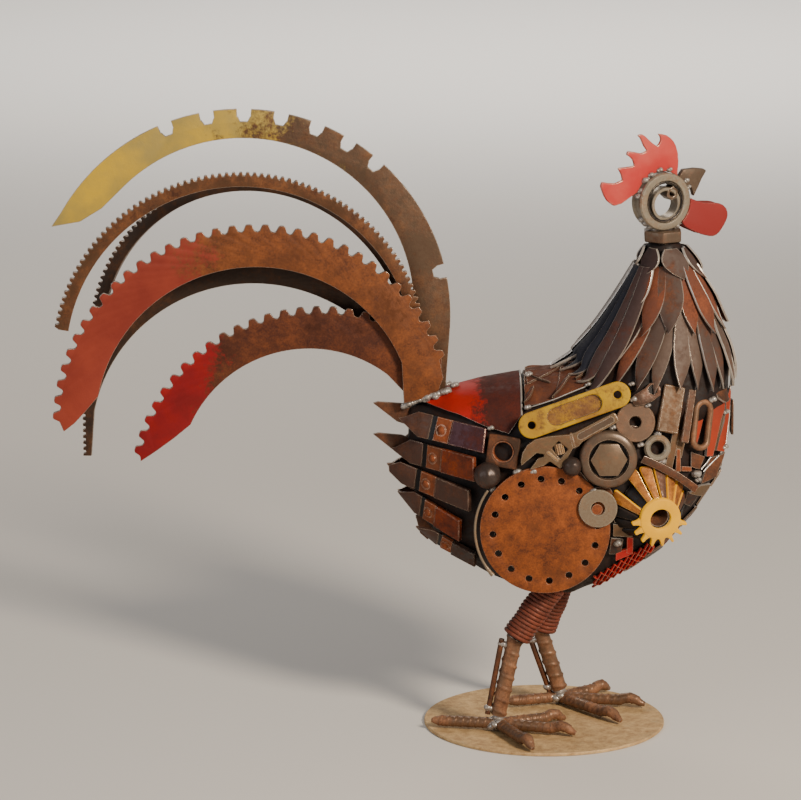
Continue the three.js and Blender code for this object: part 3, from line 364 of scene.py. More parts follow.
def node(tree, kind, values=None, **settings):
    made = tree.nodes.new("ShaderNode" + kind)
    for key, value in settings.items():
        setattr(made, key, value)
    for key, value in (values or {}).items():
        feed(tree, made.inputs[key], value)
    return made


def plus(tree, first, second):
    return node(tree, "Math", {0: first, 1: second}, operation="ADD").outputs[0]


def minus(tree, first, second):
    return node(tree, "Math", {0: first, 1: second}, operation="SUBTRACT").outputs[0]


def times(tree, first, second):
    return node(tree, "Math", {0: first, 1: second}, operation="MULTIPLY").outputs[0]


def spread(tree, value, low, high, to_low=0.0, to_high=1.0):
    values = {"Value": value, "From Min": low, "From Max": high, "To Min": to_low, "To Max": to_high}
    return node(tree, "MapRange", values, clamp=True).outputs[0]


def tint(tree, share, first, second):
    """Mixes two colours."""
    return node(tree, "Mix", {0: share, 6: first, 7: second}, data_type="RGBA").outputs[2]


def tint_value(tree, share, first, second):
    """Mixes a socket's value with a number."""
    return plus(tree, first, times(tree, share, minus(tree, second, first)))


def mottle(tree, scale, detail=6.0, roughness=0.6, where=None):
    where = where or tree.nodes["where"].outputs["Object"]
    values = {"Vector": where, "Scale": scale, "Detail": detail, "Roughness": roughness}
    return node(tree, "TexNoise", values).outputs[0]


def colour_group(name, inputs, outputs):
    group = bpy.data.node_groups.new(name, "ShaderNodeTree")
    for label, kind, value in inputs:
        socket = group.interface.new_socket(label, in_out="INPUT", socket_type="NodeSocket" + kind)
        socket.default_value = value
    for label, kind in outputs:
        group.interface.new_socket(label, in_out="OUTPUT", socket_type="NodeSocket" + kind)
    given = group.nodes.new("NodeGroupInput")
    result = group.nodes.new("NodeGroupOutput")
    where = group.nodes.new("ShaderNodeTexCoord")
    where.name = "where"
    return group, given.outputs, result.inputs


def edge_wear_group():
    """Where edges stand proud and get rubbed bright, broken up by a fine grain."""
    group, given, result = colour_group("edge wear", [("Width", "Float", 0.0012), ("Wear", "Float", 0.5)],
                                        [("Mask", "Float")])
    rounded = node(group, "Bevel", {"Radius": given["Width"]}, samples=4)
    flat = node(group, "NewGeometry")
    along = node(group, "VectorMath", {0: rounded.outputs[0], 1: flat.outputs["Normal"]},
                 operation="DOT_PRODUCT")
    edge = spread(group, along.outputs["Value"], 0.995, 0.86)
    grain = mottle(group, 260, 5, 0.7)
    broken = plus(group, edge, times(group, minus(group, grain, 0.5), 1.6))
    limit = minus(group, 1.02, given["Wear"])
    over = minus(group, broken, limit)
    shown = times(group, spread(group, over, 0.0, 0.25), spread(group, edge, 0.02, 0.2))
    group.links.new(shown, result["Mask"])
    return group


def rust_group():
    """Steel gone to rust in patches: large blooms, streaks and a fine speckle."""
    colours = [("Steel", "Color", (0.06, 0.05, 0.045, 1)), ("Dark Rust", "Color", (0.06, 0.02, 0.01, 1)),
               ("Bright Rust", "Color", (0.35, 0.12, 0.04, 1)), ("Amount", "Float", 0.5),
               ("Scale", "Float", 1.0)]
    group, given, result = colour_group(
        "rust", colours, [("Color", "Color"), ("Roughness", "Float"), ("Metal", "Float"), ("Height", "Float")])
    scaled = node(group, "Mapping", {"Vector": group.nodes["where"].outputs["Object"]})
    size = node(group, "CombineXYZ", {0: given["Scale"], 1: given["Scale"], 2: given["Scale"]}).outputs[0]
    group.links.new(size, scaled.inputs["Scale"])
    where = scaled.outputs[0]
    bloom = mottle(group, 22, 7, 0.62, where)
    speck = mottle(group, 170, 6, 0.7, where)
    pits = mottle(group, 520, 4, 0.6, where)
    shade = mottle(group, 60, 6, 0.65, where)
    mixed = plus(group, times(group, bloom, 0.62), times(group, speck, 0.38))
    low = minus(group, 0.78, times(group, given["Amount"], 0.56))
    rusted = spread(group, minus(group, mixed, low), -0.05, 0.09)
    tone = spread(group, plus(group, times(group, shade, 0.6), times(group, pits, 0.4)), 0.36, 0.64)
    rust = tint(group, tone, given["Dark Rust"], given["Bright Rust"])
    bare = tint(group, spread(group, speck, 0.35, 0.7), given["Steel"],
                tint(group, 0.5, given["Steel"], given["Dark Rust"]))
    group.links.new(tint(group, rusted, bare, rust), result["Color"])
    grain = times(group, minus(group, speck, 0.5), 0.35)
    group.links.new(plus(group, spread(group, rusted, 0, 1, 0.34, 0.68), grain), result["Roughness"])
    group.links.new(spread(group, rusted, 0, 1, 0.9, 0.35), result["Metal"])
    relief = plus(group, times(group, speck, 0.45), times(group, pits, 0.3))
    group.links.new(plus(group, times(group, rusted, 0.35), relief), result["Height"])
    return group


def paint_group():
    """Old paint in blooms and chips over the metal: the mask says where it has held."""
    group, given, result = colour_group(
        "old paint", [("Paint", "Color", (0.4, 0.02, 0.01, 1)), ("Faded", "Color", (0.3, 0.05, 0.03, 1)),
                      ("Cover", "Float", 0.7), ("Edge", "Float", 0.0)],
        [("Color", "Color"), ("Mask", "Float")])
    patch = mottle(group, 30, 8, 0.66)
    chip = mottle(group, 210, 6, 0.72)
    cloud = mottle(group, 14, 5, 0.6)
    held = plus(group, times(group, patch, 0.55), times(group, chip, 0.45))
    limit = minus(group, 0.74, times(group, given["Cover"], 0.48))
    mask = spread(group, minus(group, held, limit), -0.05, 0.07)
    kept = times(group, mask, minus(group, 1.0, given["Edge"]))
    group.links.new(tint(group, spread(group, cloud, 0.38, 0.62), given["Paint"], given["Faded"]),
                    result["Color"])
    group.links.new(kept, result["Mask"])
    return group


EDGE_WEAR = edge_wear_group()
RUST = rust_group()
OLD_PAINT = paint_group()


def rgb(red, green, blue):
    return (red, green, blue, 1.0)


def use(tree, group, **values):
    made = tree.nodes.new("ShaderNodeGroup")
    made.node_tree = group
    for key, value in values.items():
        feed(tree, made.inputs[key.replace("_", " ")], value)
    return made.outputs


def metal(name, steel, dark, bright, amount, scale, wear, width=0.0012, slot=None, edge=(0.42, 0.34, 0.27),
          paint=None, faded=None, cover=0.7, along=None, bump=0.35, gloss=0.5, dull=0.0):
    """A rusted steel finish, with old paint over it where one is given.

    steel, dark and bright are the bare metal and its darkest and brightest rust. amount and scale say how far
    the rust has spread and how coarse it is, wear and width how far the edges are rubbed. along is an axis and
    the two places on it, in millimetres, between which the paint fades out.
    """
    made = bpy.data.materials.new(name)
    made.use_nodes = True
    made["slot"] = slot or name
    tree = made.node_tree
    tree.nodes.clear()
    where = tree.nodes.new("ShaderNodeTexCoord")
    where.name = "where"
    shader = tree.nodes.new("ShaderNodeBsdfPrincipled")
    shader.inputs["Specular IOR Level"].default_value = 0.25
    output = tree.nodes.new("ShaderNodeOutputMaterial")
    tree.links.new(shader.outputs[0], output.inputs[0])
    rust = use(tree, RUST, Steel=rgb(*steel), Dark_Rust=rgb(*dark), Bright_Rust=rgb(*bright),
               Amount=amount, Scale=scale)
    worn = use(tree, EDGE_WEAR, Width=width, Wear=wear)["Mask"]
    colour, height = rust["Color"], rust["Height"]
    rough = plus(tree, rust["Roughness"], dull)
    sheen = times(tree, rust["Metal"], gloss)
    if paint:
        covered = cover
        if along:
            axis, start, end = along
            parts = node(tree, "SeparateXYZ", {0: where.outputs["Object"]})
            slope = spread(tree, parts.outputs[axis], start * MM, end * MM, 1.0, 0.0)
            covered = times(tree, slope, cover)
        coat = use(tree, OLD_PAINT, Paint=rgb(*paint), Faded=rgb(*faded), Cover=covered, Edge=worn)
        colour = tint(tree, coat["Mask"], colour, coat["Color"])
        rough = tint_value(tree, coat["Mask"], rough, 0.62)
        sheen = tint_value(tree, coat["Mask"], sheen, 0.0)
        height = plus(tree, height, times(tree, coat["Mask"], 0.3))
    colour = tint(tree, worn, colour, rgb(*edge))
    rough = tint_value(tree, worn, rough, 0.32)
    sheen = tint_value(tree, worn, sheen, 0.8)
    bumps = node(tree, "Bump", {"Height": height, "Strength": bump, "Distance": 0.0006})
    for key, value in (("Base Color", colour), ("Roughness", rough), ("Metallic", sheen),
                       ("Normal", bumps.outputs[0])):
        tree.links.new(value, shader.inputs[key])
    return made


def matt_sheet(name, *shades, **rest):
    """A dull finish for the leaves and thin sheets."""
    return metal(name, *shades, slot="leaf_rust", gloss=0.1, dull=0.25, **rest)


# Each finish: its name, bare metal, dark rust and bright rust, then amount, scale and wear
SANDY = metal("sandy_rust", (.45, .33, .17), (.28, .16, .07), (.62, .42, .20), 0.75, 1.6, 0.3, bump=0.6)
BAR = metal("bar_rust", (.17, .10, .06), (.07, .028, .015), (.32, .15, .075), 0.5, 1.4, 0.6)
SPRING = metal("spring_rust", (.12, .042, .028), (.05, .013, .009), (.22, .055, .028), 0.6, 1.4, 0.5)
DARK = metal("dark_steel", (.035, .026, .023), (.022, .010, .007), (.10, .036, .016), 0.5, 1.2, 0.45)
BROWN = metal("brown_steel", (.07, .04, .026), (.038, .015, .009), (.17, .06, .024), 0.55, 1.2, 0.5,
              slot="dark_steel")
# Near black: the body's steel is painted as the shade in the gaps between the scrap pieces
BODY_SHADE = metal("body_painted_shade", (.011, .008, .008), (.008, .004, .003), (.030, .011, .006), 0.5, 1.0, 0.1,
                   slot="dark_steel", gloss=0.1, dull=0.2)
SADDLE = metal("saddle_red", (.048, .012, .009), (.032, .007, .005), (.09, .016, .008), 0.6, 0.8, 0.4,
               paint=(.44, .008, .002), faded=(.26, .007, .003), cover=1.15, along=("X", -118, -52),
               gloss=0.2, dull=0.15)
KHAKI = metal("khaki_paint", (.105, .066, .042), (.05, .022, .013), (.15, .07, .032), 0.5, 0.9, 0.6, 0.002,
              paint=(.50, .32, .025), faded=(.30, .22, .06), cover=1.2, along=("X", -520, -205), bump=0.6)
BRIGHT_RED = metal("bright_red", (.07, .024, .014), (.04, .011, .007), (.15, .042, .014), 0.6, 0.9, 0.5,
                   paint=(.26, .003, .004), faded=(.15, .003, .004), cover=1.25, along=("X", -458, -345))
BRICK = metal("brick_red", (.13, .046, .020), (.07, .022, .010), (.22, .066, .017), 0.6, 0.8, 0.5,
              paint=(.23, .032, .016), faded=(.17, .020, .011), cover=1.25, along=("X", -520, -345))
RING_RUST = metal("ring_rust", (.10, .05, .026), (.045, .016, .008), (.19, .072, .026), 0.55, 1.2, 0.55)
BLADE_RUST = metal("blade_rust", (.10, .024, .010), (.045, .010, .005), (.25, .040, .005), 0.62, 1.1, 0.5)
DISC_RUST = metal("disc_rust", (.145, .046, .016), (.08, .022, .008), (.28, .072, .014), 0.72, 1.1, 0.35,
                  bump=0.5)
YELLOW = metal("yellow_paint", (.10, .05, .026), (.06, .022, .012), (.18, .08, .028), 0.55, 1.3, 0.55,
               paint=(.42, .25, .005), faded=(.25, .12, .014), cover=0.66, bump=0.7)
# Thinner, darker paint for the link's pocket floor: partly worn paint, partly painted shade of the recess
YELLOW_WORN_AND_SHADE = metal("yellow_worn_and_shade", (.12, .06, .034), (.07, .026, .016), (.22, .10, .03), 0.55, 1.3, 0.55,
                    slot="yellow_paint", paint=(.34, .17, .006), faded=(.17, .075, .02), cover=0.5, bump=0.8)
GREY = metal("grey_steel", (.26, .225, .17), (.11, .062, .038), (.28, .17, .09), 0.42, 1.3, 0.6,
             edge=(.50, .44, .36))
LEAF = matt_sheet("leaf_rust", (.07, .045, .036), (.038, .016, .011), (.15, .055, .026), 0.45, 0.9, 0.4)
# Darker and lighter copies of the leaf finish: painted shade on the far and back side, painted light in front
LEAF_SHADE = matt_sheet("leaf_painted_shade", (.045, .026, .024), (.026, .012, .010), (.09, .028, .018), 0.4, 0.9, 0.4)
LEAF_LIT = matt_sheet("leaf_painted_light", (.10, .066, .050), (.05, .027, .020), (.15, .070, .040), 0.4, 0.9, 0.4)
# Pale leaf edges: partly ground steel, partly painted highlight
CUT_EDGE_AND_HIGHLIGHT = metal("cut_edge_and_highlight", (.40, .36, .32), (.16, .09, .06), (.30, .19, .12), 0.3, 2.0, 0.6,
                 slot="leaf_rust", edge=(.72, .68, .62))
COMB_RED = metal("comb_red", (.28, .15, .10), (.20, .08, .04), (.42, .24, .13), 0.45, 1.1, 0.75, 0.0022,
                 edge=(.62, .48, .36), paint=(.40, .026, .024), faded=(.46, .065, .052), cover=1.05)
WATTLE_RED = metal("wattle_red", (.22, .10, .07), (.14, .05, .03), (.32, .14, .08), 0.45, 1.1, 0.7, 0.0018,
                   slot="comb_red", edge=(.58, .44, .33), paint=(.29, .014, .013), faded=(.20, .016, .014),
                   cover=1.12)
WELD_METAL = metal("weld_metal", (.36, .33, .30), (.10, .06, .045), (.26, .16, .10), 0.3, 2.0, 0.6,
                   slot="grey_steel", edge=(.75, .70, .64))
# Black painted as shade: it fills bores, hollows, gaps and the space behind holes, wires and coils
SHADE_BLACK = metal("painted_shade_black", (.010, .009, .009), (.008, .005, .004), (.03, .014, .009), 0.4, 1.2, 0.2,
              slot="dark_steel")
TAIL_EDGE = metal("tail_edge", (.15, .10, .07), (.06, .026, .015), (.19, .09, .045), 0.4, 1.6, 0.6,
                  slot="ring_rust", edge=(.48, .40, .32))
# Dark finish painted as the shade on the far gear and the far ring of the tail
TAIL_SHADE = metal("tail_painted_shade", (.040, .025, .018), (.020, .010, .006), (.10, .04, .016), 0.45, 1.2, 0.5,
                  slot="dark_steel")
BLADE_BROWN = metal("blade_brown", (.07, .038, .028), (.040, .017, .011), (.13, .05, .026), 0.5, 1.1, 0.55,
                    slot="blade_rust", edge=(.48, .36, .27))
BLADE_MAROON = metal("blade_maroon", (.045, .016, .020), (.026, .009, .010), (.10, .020, .013), 0.5, 1.1, 0.5,
                     slot="blade_rust", edge=(.46, .30, .23))
RIVET_RUST = metal("rivet_rust", (.16, .055, .024), (.085, .022, .009), (.30, .075, .020), 0.65, 1.3, 0.55,
                   slot="blade_rust", edge=(.52, .38, .28))
SHEET_RUST = matt_sheet("sheet_rust", (.080, .028, .016), (.04, .014, .009), (.15, .046, .018), 0.6, 0.8, 0.4,
                        bump=0.6)
KHAKI_BARE = matt_sheet("khaki_bare", (.10, .075, .042), (.05, .03, .018), (.15, .09, .04), 0.45, 1.1, 0.5)
LEAF_RUST = matt_sheet("leaf_orange", (.135, .045, .025), (.07, .024, .015), (.21, .062, .028), 0.55, 0.9,
                       0.4)
# Blue-black painted as the shade on the back leaves
BLUE_SHADE = matt_sheet("blue_painted_shade", (.016, .017, .026), (.012, .010, .012), (.03, .018, .016), 0.3, 0.9,
                        0.45)
BALL_STEEL = metal("ball_steel", (.05, .037, .032), (.030, .014, .010), (.12, .05, .027), 0.4, 1.6, 0.3,
                   slot="dark_steel")
NUT_STEEL = metal("nut_steel", (.12, .085, .06), (.055, .027, .016), (.18, .09, .05), 0.42, 1.4, 0.5,
                  slot="dark_steel", edge=(.45, .36, .28))
BOLT_STEEL = metal("bolt_steel", (.16, .11, .07), (.085, .043, .025), (.22, .11, .05), 0.4, 1.2, 0.5,
                   slot="bar_rust")
WASHER_STEEL = metal("washer_steel", (.19, .12, .08), (.09, .045, .028), (.26, .12, .06), 0.45, 1.6, 0.5,
                     slot="dark_steel", edge=(.50, .40, .30))
WRENCH_STEEL = metal("wrench_steel", (.165, .108, .060), (.08, .036, .019), (.22, .105, .045), 0.45, 1.4, 0.6,
                     slot="bar_rust", edge=(.60, .50, .38))
# Pale steel for plate edges and thin rods: partly bare steel, partly painted highlight
BARE_EDGE_AND_HIGHLIGHT = metal("bare_edge_and_highlight", (.42, .39, .36), (.16, .10, .07), (.30, .18, .11), 0.25, 2.0, 0.7,
                    slot="dark_steel", edge=(.75, .72, .68))
GREEN_STEEL = metal("green_grey_steel", (.23, .175, .12), (.11, .07, .045), (.28, .16, .08), 0.4, 2.2, 0.6,
                    slot="grey_steel", edge=(.55, .50, .40), bump=0.5)
GREY_BAR = metal("grey_bar_steel", (.108, .068, .036), (.062, .032, .016), (.17, .072, .028), 0.5, 1.0, 0.5,
                 slot="grey_steel", gloss=0.25)
GEAR_YELLOW = metal("gear_yellow", (.30, .16, .05), (.20, .07, .02), (.45, .20, .05), 0.5, 1.4, 0.35,
                    slot="yellow_paint", edge=(.75, .58, .25), paint=(.74, .38, .003), faded=(.62, .28, .004),
                    cover=1.15)
PETAL_RUST = metal("petal_rust", (.24, .09, .020), (.10, .028, .009), (.46, .17, .022), 0.6, 1.5, 0.6,
                   slot="yellow_paint", edge=(.78, .58, .25))
ORANGE_RED = metal("orange_red", (.15, .05, .02), (.08, .022, .011), (.24, .075, .026), 0.5, 1.2, 0.5,
                   slot="bright_red", paint=(.30, .028, .005), faded=(.17, .022, .008), cover=0.9)
MESH_RED = metal("mesh_red", (.15, .022, .014), (.09, .012, .008), (.24, .040, .014), 0.5, 1.6, 0.6,
                 slot="bright_red", edge=(.55, .28, .18), paint=(.48, .009, .008), faded=(.30, .014, .009),
                 cover=1.15)
# A darker copy of the wattle red, painted as shade on the far wattle
WATTLE_SHADE = metal("wattle_painted_shade", (.12, .036, .026), (.075, .022, .015), (.18, .055, .032), 0.45, 1.2, 0.5,
                    slot="comb_red", paint=(.18, .010, .010), faded=(.14, .013, .010), cover=1.1)
GOLD = metal("bare_brass_rust", (.42, .25, .10), (.16, .07, .03), (.45, .22, .07), 0.4, 1.5, 0.6,
             slot="bar_rust")


# Base and legs
def make_base():
    r, t = BASE_RADIUS, BASE_THICKNESS
    plate = turned([(0, 0), (r - 1, 0), (r - 0.1, 0.7), (r - 0.1, t - 1.2), (r - 1.1, t), (0, t)], 144)
    finished("round_base", plate, [SANDY], ["base_plate"])


def rebar(path, radius, pitch=9.0, tip=True):
    """Reinforcing bar: slanted ribs and two seams, ground to a claw at the tip."""
    length = sum((b - a).length for a, b in zip(path, path[1:]))
    core, claw = radius * 0.87, 0.84

    def reach(share, angle):
        rib = max(0.0, math.cos(2 * math.pi * share * length / pitch + angle)) ** 3
        seam = math.exp(-((abs(math.sin(angle)) / 0.3) ** 2))
        point = 1.0 if not tip or share < claw else 1 - 0.62 * ((share - claw) / (1 - claw)) ** 1.6
        return (core + (radius - core) * max(rib, seam * 0.8)) * point
    return drawn(path, reach, 16)


def make_toe(foot, angle, length, hooked):
    """A toe of bar; a hooked one arches at its last joint and its claw dips to the plate."""
    way = Vector((math.cos(math.radians(angle)), math.sin(math.radians(angle)), 0))
    height = BASE_THICKNESS + GAP + TOE_RADIUS + 1.5
    steps, joint, claw = 65, 0.7, 0.9
    path = []
    for i in range(steps + 1):
        share = i / steps
        rise = 0.0
        if hooked and share > joint:
            arch = math.sin(math.pi * min((share - joint) / 0.22, 1))
            rise = 3.2 * arch - 4.2 * max(0, (share - claw) / 0.1)
        path.append(Vector((foot[0], foot[1], height + rise)) + way * (length - 1.5) * share)
    return rebar(path, TOE_RADIUS)


def make_foot(name, foot, toes, node_name):
    bars = [make_toe(foot, angle, length, i < 3) for i, (angle, length) in enumerate(toes)]
    ring_of = circle(TOE_RADIUS * 1.1, 9, *foot)
    low = weld([(x, y, 13 + 4 * math.sin(i * 2.1)) for i, (x, y) in enumerate(ring_of)], 5.2, 3)
    knot = weld([(foot[0], foot[1], z) for z in (12, 17, 21)], 8.5, 8)
    finished(name, joined(*bars, painted(low, 1), painted(knot, 1)), [BAR, WELD_METAL], [node_name], 50)


def make_leg(name, foot, knee, hip, nodes):
    bottom = Vector((foot[0], foot[1], 24))
    top, high = Vector(knee), Vector(hip)
    way = (top - bottom).normalized()
    length = (top - bottom).length
    shank = rebar(line(bottom, top + way * 4, int(length / 1.3)), SHANK_RADIUS, 15.0, False)
    behind = Vector((-1, 0, 0)) - way * Vector((-1, 0, 0)).dot(way)
    behind = behind.normalized() * ROD_OFFSET
    rod = drawn(line(bottom + behind * 0.85 - way * 2, top + behind - way * 3, 10), ROD_RADIUS * 0.85, 12)
    lugs = [weld([bottom + behind * s + way * 6 for s in (0.5, 0.75, 0.95)], 4.4, 5),
            weld([top + behind * s - way * 9 for s in (0.55, 0.8, 1.0)], 4.6, 6)]
    finished(name + "_shank_bars", joined(shank, painted(rod, 1), *[painted(lug, 2) for lug in lugs]),
             [BAR, BROWN, WELD_METAL], nodes[:1], 50)
    lean = (high - top).normalized()
    side = lean.orthogonal().normalized()
    over = lean.cross(side)
    span = (high - top).length + 2
    turns, steps, wire = round(span / 5.4), 26, 2.65
    coil = []
    for i in range(turns * steps + 1):
        angle = 2 * math.pi * i / steps
        swell = 1 + 0.03 * math.sin(i / steps)
        coil.append(top + lean * (wire + (span - 2 * wire) * i / (turns * steps))
                    + (side * math.cos(angle) + over * math.sin(angle)) * (SPRING_RADIUS - wire) * swell * 0.98)
    # A black core painted as the shade inside the coil
    core = drawn(line(top + lean, high - lean, 6), SPRING_RADIUS - 6, 16)
    spring = joined(drawn(coil, wire, 9), painted(core, 1))
    finished(name + "_thigh_coil", spring, [SPRING, SHADE_BLACK], nodes[1:], 60)


# Tail: plates of 5 to 9 mm in layers; a layer's number is how far its middle stands from the sickle's
SICKLE_PLATE = 5
GEAR_PLATE = 5.8
RING_PLATE, RING_WIDTH, RING_TOOTH = 8.6, 17, 4.5
INNER_LAYER, RING_LAYER, OUTER_LAYER = 5.8, 7.3, 12.1


def toothed(x, z, outer, tooth, start, end, pitch):
    """The round of teeth of a gear, from its end back to its start, in degrees."""
    points = []
    for i in range(int((end - start) / pitch)):
        first = end - i * pitch
        for share, radius in ((0, outer - tooth), (0.12, outer - tooth * 0.85), (0.26, outer - tooth * 0.12),
                              (0.36, outer), (0.56, outer), (0.66, outer - tooth * 0.12),
                              (0.80, outer - tooth * 0.85)):
            points += arc(x, z, radius, first - share * pitch, first, 1)[:1]
    return points


def saddle_rise(x, y=0.0):
    """The height at which a plate stands on the saddle."""
    _, top, _, half = between(TRUNK, x)
    share = (1 - min(abs(y / half), 1) ** BODY_POWER) ** (1 / BODY_POWER)
    return BODY_WIDEST + (top - BODY_WIDEST) * share + SADDLE_LIFT + SHEET + GAP


def tail_piece(name, outline, thickness, where, finish, node_name, edge=0.7):
    plate = slab(outline, thickness, edge, segments=2, edge_finish=1)
    finished(name, place(plate, where), [finish, TAIL_EDGE], [node_name], 30)


def make_sickle():
    x, z, outer = -363, 504, 247.7
    notch_width, notch_side, notch_depth = 17, 9, 15
    points = [(-589, 611)]
    angle = 150
    half = math.degrees(notch_width / 2 / outer)
    for notch in (111.5, 99.6, 89.2, 78.8, 68.4, 58.6, 49, 12.6):
        points += arc(x, z, outer, angle, notch + half, max(1, round((angle - notch) / 2.5)))
        points += arc(x, z, outer - notch_side, notch + half * 0.98, notch + half * 0.9, 1)
        points += arc(x, z, outer - notch_depth, notch + half * 0.55, notch - half * 0.55, 4)
        points += arc(x, z, outer - notch_side, notch - half * 0.9, notch - half * 0.98, 1)
        angle = notch - half
    points += arc(x, z, outer, angle, -4, 14)
    points += [(-121, saddle_rise(-121) + 1), (-160, saddle_rise(-160) + 1)]
    points += arc(-361, 515, 202, -12, 136, 64) + [(-529, 633), (-555, 617)]
    tail_piece("tail_toothed_sickle", points, SICKLE_PLATE, upright(0), KHAKI, "tail_sickle_plate")


def make_ring_gear(name, x, z, outer, start, end, teeth, y, splay, root, finish, node_name):
    pitch = (end - start) / teeth
    points = toothed(x, z, outer, RING_TOOTH, start, end, pitch)
    points += arc(x, z, outer - RING_TOOTH, start, start, 1)[:1]
    points += arc(x, z, outer - RING_WIDTH, start, end, 90)
    tail_piece(name, points, RING_PLATE, upright(y, splay, root), finish, node_name, 0.5)


def make_gears():
    x, z = -349, 379
    points = toothed(x, z, 240, 9, 13, 179, 4.75) + arc(x, z, 231, 14, 13, 1)
    points += [(-132, saddle_rise(-132, 8)), (-171, saddle_rise(-152, 8))]
    points += arc(x, z, 189, 22, 169, 70) + [(-551, 396), (-563, 383), (-576, 373)]
    tail_piece("tail_brick_gear", points, GEAR_PLATE, upright(-OUTER_LAYER, 4.6), BRICK, "tail_near_gear_arc")
    x, z = -349, 339
    points = toothed(x, z, 232, 7, 22, 168, 4.6) + arc(x, z, 225, 23, 22, 1)
    points += [(-136, saddle_rise(-136, 2)), (-160, saddle_rise(-156, 2))]
    points += arc(x, z, 200, 30, 168, 60) + [(-549, 325)]
    # The square end of the dark gear has seven teeth of its own
    for tooth in range(7):
        foot = 325 + 7.4 * tooth
        points += [(-559, foot), (-559, foot + 3), (-555.6, foot + 4), (-555.6, foot + 6.6)]
    points += [(-559, 377)]
    # The far gear's dark finish is painted shade
    tail_piece("tail_dark_gear", points, GEAR_PLATE, upright(INNER_LAYER, -3.4), TAIL_SHADE, "tail_far_gear_arc")
    x, z = -272, 289
    points = toothed(x, z, 228, 9, 56, 168, 5) + arc(x, z, 219, 52, 48, 1)
    points += [(-128, saddle_rise(-128, 2)), (-160, saddle_rise(-156, 2))]
    points += arc(-285, 312, 154, 52, 156, 50) + [(-446, 358), (-468, 342), (-486, 330)]
    tail_piece("tail_red_gear", points, GEAR_PLATE, upright(-INNER_LAYER, 2.2), BRIGHT_RED,
               "tail_lower_gear_arc")
    make_ring_gear("tail_near_fine_ring", -366, 457, 223, 15, 170, 72, -RING_LAYER, 4.4, -150, RING_RUST,
                   "tail_near_ring_gear")
    # The far ring's dark finish is painted shade
    make_ring_gear("tail_far_fine_ring", -357, 453, 209, 15, 168, 66, RING_LAYER, -14, -155, TAIL_SHADE,
                   "tail_far_ring_gear")
    # The run of weld that holds the tail to the saddle, and its far side
    points = [(blend(-171, -118, i / 17), blend(-9, -20, i / 17) + math.sin(i * 1.9),
               saddle_rise(blend(-162, -114, i / 17), blend(7, 18, i / 17)) + 1) for i in range(18)]
    back = [(blend(-160, -116, i / 10), 13 + math.sin(i * 2.3), saddle_rise(blend(-158, -118, i / 10), 13) + 1)
            for i in range(11)]
    finished("tail_welds", joined(weld(points, 4.4, 11), weld(back, 4, 12)), [WELD_METAL], angle=60)


# Blades on the rump
def blade_parts(length, low, high):
    """A pointed tooth, a strap, a riveted seat and a tail end, laid in a row along X."""
    middle, height = (high - low) / 2, high + low
    outline = [(0, 1.5), (7, -2.4), (30, -low), (length * 0.36, -low), (length * 0.36, high), (10 + high, high),
               (6, 3.6)]
    tooth = moved(slab(outline, 3.4, 0.9, segments=2), 0, 0, 2.0)
    # The strap between tooth and seat is painted black, as the shade in the gap
    strap = moved(block(6.5, height, 2.4, 0.4), length * 0.385, middle, 1.4)
    seat_plate = moved(block(length * 0.17, height - 0.8, 4.6, 0.7), length * 0.50, middle, 2.6)
    head = [(0, 8.2), (2.2, 8.0), (4.2, 6.9), (4.9, 5.6), (5.0, 4.7), (0, 4.7)]
    rivet = moved(turned(head, 20), length * 0.485, middle - 0.5, 0)
    collar = moved(ring(6.6, 4.9, 1.0, 0.3, 20), length * 0.485, middle - 0.5, 5.2)
    tail_end = moved(block(length * 0.385, height, 6.2, 0.9), length * 0.7825, middle, 3.3)
    slanted = [v for v in tail_end.verts if v.co.x > length * 0.9 and v.co.y > middle]
    bmesh.ops.translate(tail_end, vec=(-3.5, 0, 0), verts=slanted)
    return joined(tooth, painted(strap, 1), painted(seat_plate, 2), painted(rivet, 2), painted(collar, 2),
                  painted(tail_end, 3))


def cut_off(form, point, normal):
    """Takes away what lies beyond a plane and closes the cut."""
    whole = form.verts[:] + form.edges[:] + form.faces[:]
    cut = bmesh.ops.bisect_plane(form, geom=whole, dist=1e-4, plane_co=point, plane_no=normal, clear_outer=True)
    rim = [item for item in cut["geom_cut"] if isinstance(item, bmesh.types.BMEdge)]
    if rim:
        bmesh.ops.holes_fill(form, edges=rim)
    return form


